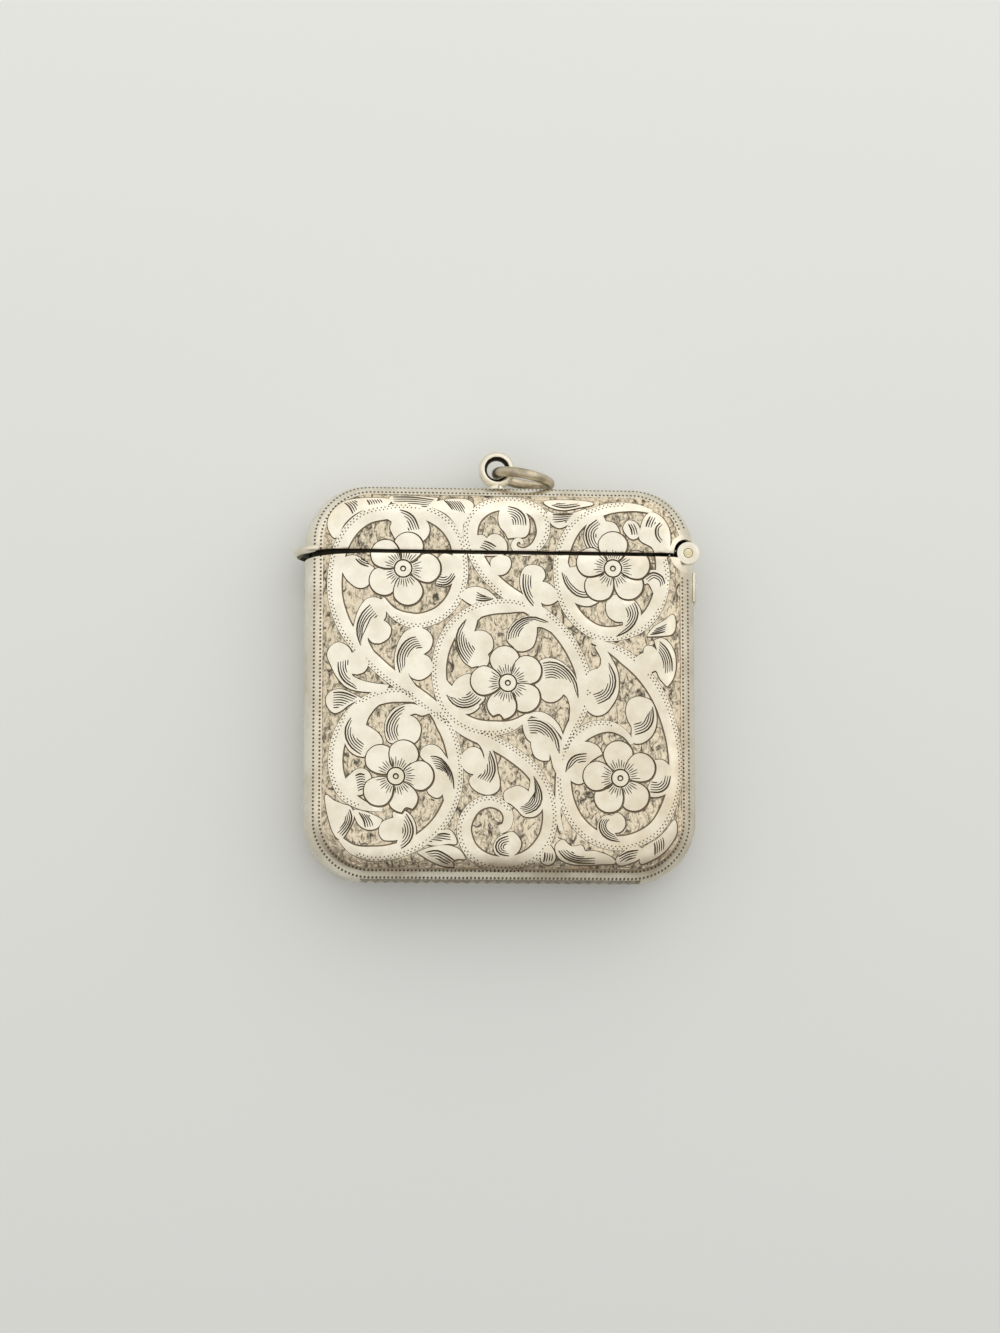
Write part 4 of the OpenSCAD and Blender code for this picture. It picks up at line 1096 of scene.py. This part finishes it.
def combine(piece, tool, operation="DIFFERENCE"):
    """Cuts a tool from a piece, or joins it, and removes the tool."""
    apply_modifier(piece, "BOOLEAN", object=tool, operation=operation, solver="MANIFOLD")
    bpy.data.objects.remove(tool)
    if not piece.data.polygons:
        raise RuntimeError(f"{piece.name} is empty after a cut")


def copy_of(node, name):
    """A merged copy of a solid, whose flat faces are whole."""
    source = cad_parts[node]
    made = bpy.data.objects.new(name, source.data.copy())
    bpy.context.collection.objects.link(made)
    with edit_mode(made):
        bpy.ops.mesh.remove_doubles(threshold=2e-6)
        bpy.ops.mesh.dissolve_limited(angle_limit=math.radians(2))
    return made


def set_materials(piece, materials):
    slots = piece.data.materials
    for i, material in enumerate(materials):
        if i < len(slots):
            slots[i] = material
        else:
            slots.append(material)


def two_finishes(piece, main, other, where):
    """One finish on a piece, and another on the faces that a test picks; every call here gives those faces the painted
    shade.
    """
    set_materials(piece, [main, other])
    for polygon in piece.data.polygons:
        polygon.material_index = int(where(polygon))


def finish_piece(piece, body, node, materials=None, angle=35):
    """Gives a piece its finish and its body, and hides the solid that it stands for."""
    if materials:
        set_materials(piece, materials)
    if angle:
        pick(piece)
        bpy.ops.object.shade_smooth_by_angle(angle=math.radians(angle))
    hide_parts(node)
    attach(piece, body)
    clear_selection()


class CASE_OT_engraved_shells(bpy.types.Operator):
    """Make the four engraved shells of the lid and the body"""

    bl_idname = "vesta_case.engraved_shells"
    bl_label = "Engraved shells"

    # Room round the knuckles, the strip and the rivets, and a cutter's reach past the shell, in millimetres
    KNUCKLE_JOINT = 0.02
    LID_ROOM = 0.45
    LID_END_ROOM = 0.04
    BODY_ROOM = 0.35
    BODY_END_ROOM = 0.08
    STRIP_ROOM = 0.02
    RIVET_HOLE = 0.47
    PAST = 1.0

    def cutters(self, sizes, part):
        """Shapes that open the shell, each with the surface it leaves."""
        wall, edge, corner = sizes.wall / MM, sizes.edge / MM, sizes.corner / MM
        inner = block("inner cutter", (wall - HALF_W, wall - HALF_H, wall),
                      (HALF_W - wall, HALF_H - wall, THICK - wall))
        self.round_block(inner, (corner - wall) * MM, (edge - wall) * MM)
        yield inner, INSIDE
        lid_low, lid_high = box_mm("lid_knuckle")
        radius = (lid_high.y - lid_low.y) / 2
        under, over = -self.PAST, THICK + self.PAST
        yield bar("notch", radius + self.KNUCKLE_JOINT, under, over), PLAIN
        if part == "lid":
            for low, high in ((under, lid_low.z - self.LID_END_ROOM), (lid_high.z + self.LID_END_ROOM, over)):
                yield bar("notch", radius + self.LID_ROOM, low, high), PLAIN
            return
        room = self.BODY_END_ROOM
        yield bar("notch", radius + self.BODY_ROOM, lid_low.z - room, lid_high.z + room), PLAIN
        # the relief's faces lie in the gap under the lip and get the painted shade
        yield self.relief(sizes.relief_depth / MM, sizes.relief_length / MM), SAWN_IN_SHADE
        low, high = box_mm("striker_strip")
        grow = Vector((self.STRIP_ROOM, self.PAST, self.STRIP_ROOM))
        yield block("slot", low - grow, high + grow), PLAIN
        low, high = box_mm("spring_rivets")
        head = (high.z - low.z) / 2
        for y in (low.y + head, high.y - head):
            yield primitive("cylinder", "hole", vertices=32, radius=self.RIVET_HOLE * MM, depth=2 * self.PAST * MM,
                            location=(HALF_W * MM, y * MM, SEAM * MM), rotation=(0, math.pi / 2, 0)), PLAIN

    def relief(self, depth, across):
        """A sloping block that opens the body under the lip."""
        slope = math.atan2(depth, across)
        middle = Vector((across / 2 - HALF_W, BODY_TOP - depth / 2, SEAM))
        middle += Vector((-math.sin(slope), math.cos(slope), 0))
        return primitive("cube", "relief", size=1.0, location=middle * MM, rotation=(0, 0, slope),
                         stretch=Vector((3 * across, 2, 2 * THICK)) * MM)

    def round_block(self, piece, corner, edge):
        """Rounds the upright edges, then the edges round both faces."""
        heights = [v.co.z for v in piece.data.vertices]

        def level(e):
            return any(all(abs(v.co.z - z) < 1e-7 for v in e.verts) for z in (min(heights), max(heights)))

        round_edges(piece, lambda e: not level(e), corner, 12)
        round_edges(piece, lambda e: level(e) and e.calc_face_angle(0.0) > 1.0, edge, 8)

    def execute(self, context):
        sizes, colours = context.scene.case_sizes, context.scene.case_colours
        ornament = draw_ornament()
        materials = shell_materials(colours)
        for part, bottom, top, cut_edge, body in (
                ("body", -HALF_H - 1, BODY_TOP, BODY_TOP, "case_body"),
                ("lid", LID_BOTTOM, HALF_H + 1, LID_BOTTOM, "lid")):
            face = EngravedFace(ornament, sizes, bottom, top, cut_edge)
            for side in ("front", "back"):
                node = f"{part}_{side}_shell"
                piece = bpy.data.objects.new(f"engraved_{node}", face.mesh(node, side == "back"))
                context.collection.objects.link(piece)
                set_materials(piece, materials)
                for tool, kind in self.cutters(sizes, part):
                    set_materials(tool, materials)
                    for polygon in tool.data.polygons:
                        polygon.material_index = kind
                    combine(piece, tool)
                finish_piece(piece, body, node, angle=0)
                self.shade(piece)
        return {"FINISHED"}

    def shade(self, piece):
        """Smooth silver with crisp engraving, and a ground of small facets."""
        pick(piece)
        bpy.ops.object.shade_smooth_by_angle(angle=math.radians(30))
        smooth = [p.material_index != GROUND for p in piece.data.polygons]
        piece.data.polygons.foreach_set("use_smooth", smooth)
        clear_selection()


class CASE_OT_hinge(bpy.types.Operator):
    """Make the knuckles, the pin and the plate of the hinge"""

    bl_idname = "vesta_case.hinge"
    bl_label = "Hinge"

    PIN_ROOM = 0.015

    def execute(self, context):
        colours = context.scene.case_colours
        silver = plain_silver(colours)
        bore = (PIN_HIGH.x - PIN_LOW.x) / 2
        for side in ("front", "back"):
            node = f"body_knuckle_{side}"
            low, high = box_mm(node)
            outer = (high.x - low.x) / 2
            knuckle = bar(f"hinge_{node}", outer, low.z, high.z, sides=72)
            combine(knuckle, bar("bore", bore, low.z - 1, high.z + 1, sides=72))
            soften(knuckle, 0.09, 4)
            finish_piece(knuckle, "case_body", node, [silver])
        pin = bar("hinge_round_pin", bore - self.PIN_ROOM, PIN_LOW.z, PIN_HIGH.z, sides=56)
        soften(pin, 0.07, 4)
        brass = metal("worn brass", colours.brass, scaled(colours.brass, 0.6), gloss=0.28, matt=0.45,
                      dull_share=0.5, cloud=900.0)
        # Painted shade: the pin's sides and worn rims are near black, which shows as a dark ring of shade round its
        # ends in the bore.
        two_finishes(pin, brass, painted_shade_silver(colours), lambda face: abs(face.normal.z) < 0.95)
        finish_piece(pin, "case_body", "hinge_pin")
        for node, name, body, width, segments in (("lid_knuckle", "hinge_lid_knuckle", "lid", 0.05, 2),
                                                  ("hinge_plate", "hinge_side_plate", "case_body", 0.06, 3)):
            piece = copy_of(node, name)
            soften(piece, width, segments)
            finish_piece(piece, body, node, [silver])
        return {"FINISHED"}


class CASE_OT_lip_and_rim(bpy.types.Operator):
    """Make the thumb lip of the lid and the rim of the mouth"""

    bl_idname = "vesta_case.lip_and_rim"
    bl_label = "Lip and rim"

    LIP_T = 0.9
    HOLLOW = 0.45
    SKIN = 0.02
    RIM_SHADE = 0.15

    def execute(self, context):
        sizes, colours = context.scene.case_sizes, context.scene.case_colours
        finishes = plain_silver(colours), painted_shade_silver(colours)
        lip = self.lip(context, sizes.edge / MM)
        # Painted shade on the flat underside of the lip, which faces down onto the body.
        two_finishes(lip, *finishes, lambda face: face.normal.y < -0.97)
        finish_piece(lip, "lid", "thumb_lip")
        rim = copy_of("mouth_rim", "mouth_inner_rim")
        soften(rim, 0.1, 3)
        level = (LID_BOTTOM + self.RIM_SHADE) * MM
        with edit_mode(rim):
            bpy.ops.mesh.bisect(plane_co=(0, level, 0), plane_no=(0, 1, 0))

        # Painted shade on the outer faces of the rim below the lid's edge, in the gap between lid and body.
        def shaded(face):
            out = face.center.x * face.normal.x + (face.center.z - SEAM * MM) * face.normal.z
            return out > 0 and face.center.y < level

        two_finishes(rim, *finishes, shaded)
        finish_piece(rim, "case_body", "mouth_rim")
        return {"FINISHED"}

    def lip(self, context, edge):
        """A turned crescent with a hollow below, cut to the side of the lid."""
        low, high = box_mm("thumb_lip")
        reach, end = -low.x - HALF_W, (high.z - low.z) / 2
        bow = reach + edge - math.sqrt(edge ** 2 - (end - THICK / 2 + edge) ** 2)
        radius = (end ** 2 + bow ** 2) / (2 * bow)
        axis = Vector((low.x + radius, low.y, SEAM))
        nose = self.LIP_T / 2
        flare = reach - nose
        hollow = self.LIP_T * self.HOLLOW
        tip = radius - nose
        profile = [(0.0, hollow), (tip - 0.35, hollow), (tip - 0.15, hollow * 0.6), (tip, 0.0)]
        profile += [(tip + nose * math.cos(a), nose + nose * math.sin(a))
                    for a in (math.radians(d) for d in range(-75, 90, 15))]
        profile += [(tip + flare * math.cos(a), self.LIP_T + flare + flare * math.sin(a))
                    for a in (math.radians(d) for d in range(270, 179, -15))]
        profile += [(0.0, self.LIP_T + flare)]
        mesh = bpy.data.meshes.new("lip")
        mesh.from_pydata([(axis + Vector((-r, y, 0.0))) * MM for r, y in profile],
                         [(i, i + 1) for i in range(len(profile) - 1)], [])
        lip = bpy.data.objects.new("lid_thumb_lip", mesh)
        context.collection.objects.link(lip)
        with edit_mode(lip):
            bpy.ops.mesh.spin(steps=144, angle=2 * math.pi, center=axis * MM, axis=(0, 1, 0), use_auto_merge=True)
            bpy.ops.mesh.select_all(action="SELECT")
            bpy.ops.mesh.remove_doubles(threshold=1e-7)
            bpy.ops.mesh.normals_make_consistent(inside=False)
        skin = self.SKIN
        case = block("case section", (-HALF_W - skin, -HALF_H, -skin), (HALF_W + skin, 2 * HALF_H, THICK + skin))
        round_edges(case, lambda e: abs(e.verts[0].co.y - e.verts[1].co.y) > 1e-6, (edge + skin) * MM, 24)
        combine(lip, case)
        return lip


class CASE_OT_striker(bpy.types.Operator):
    """Make the ribbed strip in the base"""

    bl_idname = "vesta_case.striker"
    bl_label = "Striker"

    def execute(self, context):
        tarnish = context.scene.case_colours.tarnish
        strip = copy_of("striker_strip", "base_striker")
        soften(strip, 0.05, 2)
        silver = metal("striker silver", scaled(tarnish, 0.6), scaled(tarnish, 0.15), gloss=0.35, matt=0.6,
                       dull_share=0.9, cloud=900.0)
        finish_piece(strip, "case_body", "striker_strip", [silver])
        return {"FINISHED"}


class CASE_OT_loop_and_ring(bpy.types.Operator):
    """Make the fixed loop on the lid and the loose ring in it"""

    bl_idname = "vesta_case.loop_and_ring"
    bl_label = "Loop and ring"

    LOOP_WIRE = 0.95
    FOOT_RADII = (0.85, 0.62)
    # height above the lid up to which the foot gets painted shade
    FOOT_SHADE = 0.12
    RING_LEAN = math.radians(-11)
    RING_WIRE = 1.1

    def execute(self, context):
        colours = context.scene.case_colours
        self.fixed_loop(colours)
        low, high = box_mm("jump_ring")
        ring = primitive("torus", "loose_ring", location=(low + high) / 2 * MM,
                         rotation=(math.pi / 2, 0, self.RING_LEAN), major_segments=112, minor_segments=28,
                         major_radius=(high.z - low.z - self.RING_WIRE) / 2 * MM,
                         minor_radius=self.RING_WIRE / 2 * MM)
        silver = metal("ring silver", scaled(colours.tarnish, 0.95), scaled(colours.tarnish, 0.3), gloss=0.3, matt=0.5,
                       dull_share=0.8, cloud=500.0)
        finish_piece(ring, "ring", "jump_ring", [silver])
        return {"FINISHED"}

    def fixed_loop(self, colours):
        """A flattened ring on a tapered foot, with painted shade in its hole and where it meets the lid."""
        low, high = box_mm("suspension_loop")
        outer, wire = (high.x - low.x) / 2, self.LOOP_WIRE
        centre = Vector(((low.x + high.x) / 2, high.y - outer, SEAM))
        loop = primitive("torus", "lid_loop", location=centre * MM, major_segments=80, minor_segments=32,
                         major_radius=(outer - wire / 2) * MM, minor_radius=wire / 2 * MM)
        stretch = (high.z - low.z) / wire
        for v in loop.data.vertices:
            v.co.z = (SEAM + (v.co.z / MM - SEAM) * stretch) * MM
        foot_top = centre.y - outer + wire * 0.75
        foot = primitive("cone", "foot", vertices=64, radius1=self.FOOT_RADII[0] * MM, radius2=self.FOOT_RADII[1] * MM,
                         depth=(foot_top - low.y) * MM, rotation=(-math.pi / 2, 0, 0),
                         location=(centre.x * MM, (foot_top + low.y) / 2 * MM, SEAM * MM))
        combine(loop, foot, "UNION")
        apply_modifier(loop, "REMESH", mode="VOXEL", voxel_size=0.05 * MM)
        apply_modifier(loop, "SMOOTH", factor=0.5, iterations=3)

        # Painted shade inside the loop's hole and on the foot where it meets the lid.
        def dark(face):
            out = face.center.xy / MM - centre.xy
            hole = out.length < outer - wire * 0.66 and face.normal.xy.dot(out) < -0.45 * out.length
            return hole or face.center.y / MM < HALF_H + self.FOOT_SHADE

        two_finishes(loop, plain_silver(colours), painted_shade_silver(colours), dark)
        finish_piece(loop, "lid", "suspension_loop", angle=80)


class CASE_OT_spring(bpy.types.Operator):
    """Make the leaf spring of the lid and its rivets"""

    bl_idname = "vesta_case.spring"
    bl_label = "Spring"

    def execute(self, context):
        grey = context.scene.case_colours.steel
        steel = metal("spring steel", grey, scaled(grey, 0.5), gloss=0.3, matt=0.5, dull_share=0.6, cloud=300.0)
        for node, name in (("leaf_spring", "lid_leaf_spring"), ("spring_rivets", "spring_two_rivets")):
            piece = copy_of(node, name)
            soften(piece, 0.04, 2)
            finish_piece(piece, "case_body", node, [steel])
        return {"FINISHED"}


class CASE_OT_stage(bpy.types.Operator):
    """Make the floor, the light and the camera"""

    bl_idname = "vesta_case.stage"
    bl_label = "Stage"

    VIEW_FROM = Vector((-0.078, -0.146, 1.0))
    VIEW_AT = Vector((-0.29, 1.4, 9.5))
    VIEW_DISTANCE = 400.0
    LENS = 101.0
    # share of the floor's colour where its painted shade is darkest, at the bottom of the picture
    FLOOR_NEAR_SHADE = 0.81
    SKY_TOP = (1.03, 1.02, 0.985)
    SKY_AHEAD = (1.06, 1.0, 0.91)
    SKY_NEAR = (0.14, 0.1, 0.065)
    LAMP_AT = Vector((0.42, 0.5, 0.5))
    LAMP_SIZE = 1.0
    LAMP_POWER = 0.75

    def floor(self, context):
        plane = primitive("plane", "stage_floor", size=4.0, location=(0, 0, -0.00005))
        made, tree, shader = new_material("pale floor")
        shader.inputs["Roughness"].default_value = 0.6
        place = add_node(tree, "ShaderNodeTexCoord", (-900, 0))
        split = add_node(tree, "ShaderNodeSeparateXYZ", (-700, 0))
        tree.links.new(place.outputs["Object"], split.inputs[0])
        # Painted shade: the floor darkens towards -Y, the bottom of the picture.
        share = spread(tree, (-450, 0), split.outputs["Y"], -0.09, 0.1)
        pale = context.scene.case_colours.floor
        tree.links.new(mixed(tree, (-200, 0), share, scaled(pale, self.FLOOR_NEAR_SHADE), pale), shader.inputs["Base Color"])
        set_materials(plane, [made])

    def sky(self, context):
        world = bpy.data.worlds.new("studio")
        context.scene.world = world
        world.use_nodes = True
        tree = world.node_tree
        back = tree.nodes["Background"]
        place = add_node(tree, "ShaderNodeTexCoord", (-1100, 0))
        split = add_node(tree, "ShaderNodeSeparateXYZ", (-900, 0))
        tree.links.new(place.outputs["Generated"], split.inputs[0])
        up = spread(tree, (-650, 150), split.outputs["Z"], 0.25, 0.97)
        ahead = spread(tree, (-650, -150), split.outputs["Y"], -0.7, 0.3)
        side = mixed(tree, (-400, -150), ahead, self.SKY_NEAR, self.SKY_AHEAD)
        tree.links.new(mixed(tree, (-150, 0), up, side, self.SKY_TOP), back.inputs["Color"])

    def lamp(self, context):
        data = bpy.data.lights.new("key lamp", "AREA")
        data.size, data.energy = self.LAMP_SIZE, self.LAMP_POWER
        made = bpy.data.objects.new("key lamp", data)
        context.collection.objects.link(made)
        made.location = self.LAMP_AT
        made.rotation_euler = (-self.LAMP_AT).to_track_quat("-Z", "Y").to_euler()

    def camera(self, context):
        data = bpy.data.cameras.new("camera")
        data.lens, data.sensor_width = self.LENS, 36.0
        data.clip_start, data.clip_end = 0.01, 20.0
        made = bpy.data.objects.new("camera", data)
        context.collection.objects.link(made)
        back = self.VIEW_FROM.normalized()
        right = Vector((0, 1, 0)).cross(back).normalized()
        up = back.cross(right)
        turn = Matrix((right, up, back)).transposed().to_4x4()
        place = (self.VIEW_AT + back * self.VIEW_DISTANCE) * MM
        made.matrix_world = Matrix.Translation(place) @ turn
        context.scene.camera = made

    def execute(self, context):
        context.scene.view_settings.view_transform = "Standard"
        self.floor(context)
        self.sky(context)
        self.lamp(context)
        self.camera(context)
        return {"FINISHED"}


OPERATORS = (
    CASE_OT_stage,
    CASE_OT_engraved_shells,
    CASE_OT_hinge,
    CASE_OT_lip_and_rim,
    CASE_OT_striker,
    CASE_OT_loop_and_ring,
    CASE_OT_spring,
)


class CASE_PT_panel(bpy.types.Panel):
    """Lists the steps of the vesta case"""

    bl_idname = "CASE_PT_panel"
    bl_label = "Vesta case"
    bl_space_type = "VIEW_3D"
    bl_region_type = "UI"
    bl_category = "Vesta case"

    def draw(self, context):
        for group in (context.scene.case_sizes, context.scene.case_colours):
            for name in group.__annotations__:
                self.layout.prop(group, name)
        for operator in OPERATORS:
            self.layout.operator(operator.bl_idname)


CLASSES = (CaseSizes, CaseColours) + OPERATORS + (CASE_PT_panel,)


def register():
    for made in CLASSES:
        bpy.utils.register_class(made)
    bpy.types.Scene.case_sizes = PointerProperty(type=CaseSizes)
    bpy.types.Scene.case_colours = PointerProperty(type=CaseColours)


def unregister():
    del bpy.types.Scene.case_colours
    del bpy.types.Scene.case_sizes
    for made in reversed(CLASSES):
        bpy.utils.unregister_class(made)


def main():
    register()
    bpy.ops.vesta_case.stage()
    bpy.ops.vesta_case.engraved_shells()
    bpy.ops.vesta_case.hinge()
    bpy.ops.vesta_case.lip_and_rim()
    bpy.ops.vesta_case.striker()
    bpy.ops.vesta_case.loop_and_ring()
    bpy.ops.vesta_case.spring()
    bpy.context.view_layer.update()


if __name__ == "__main__":
    main()
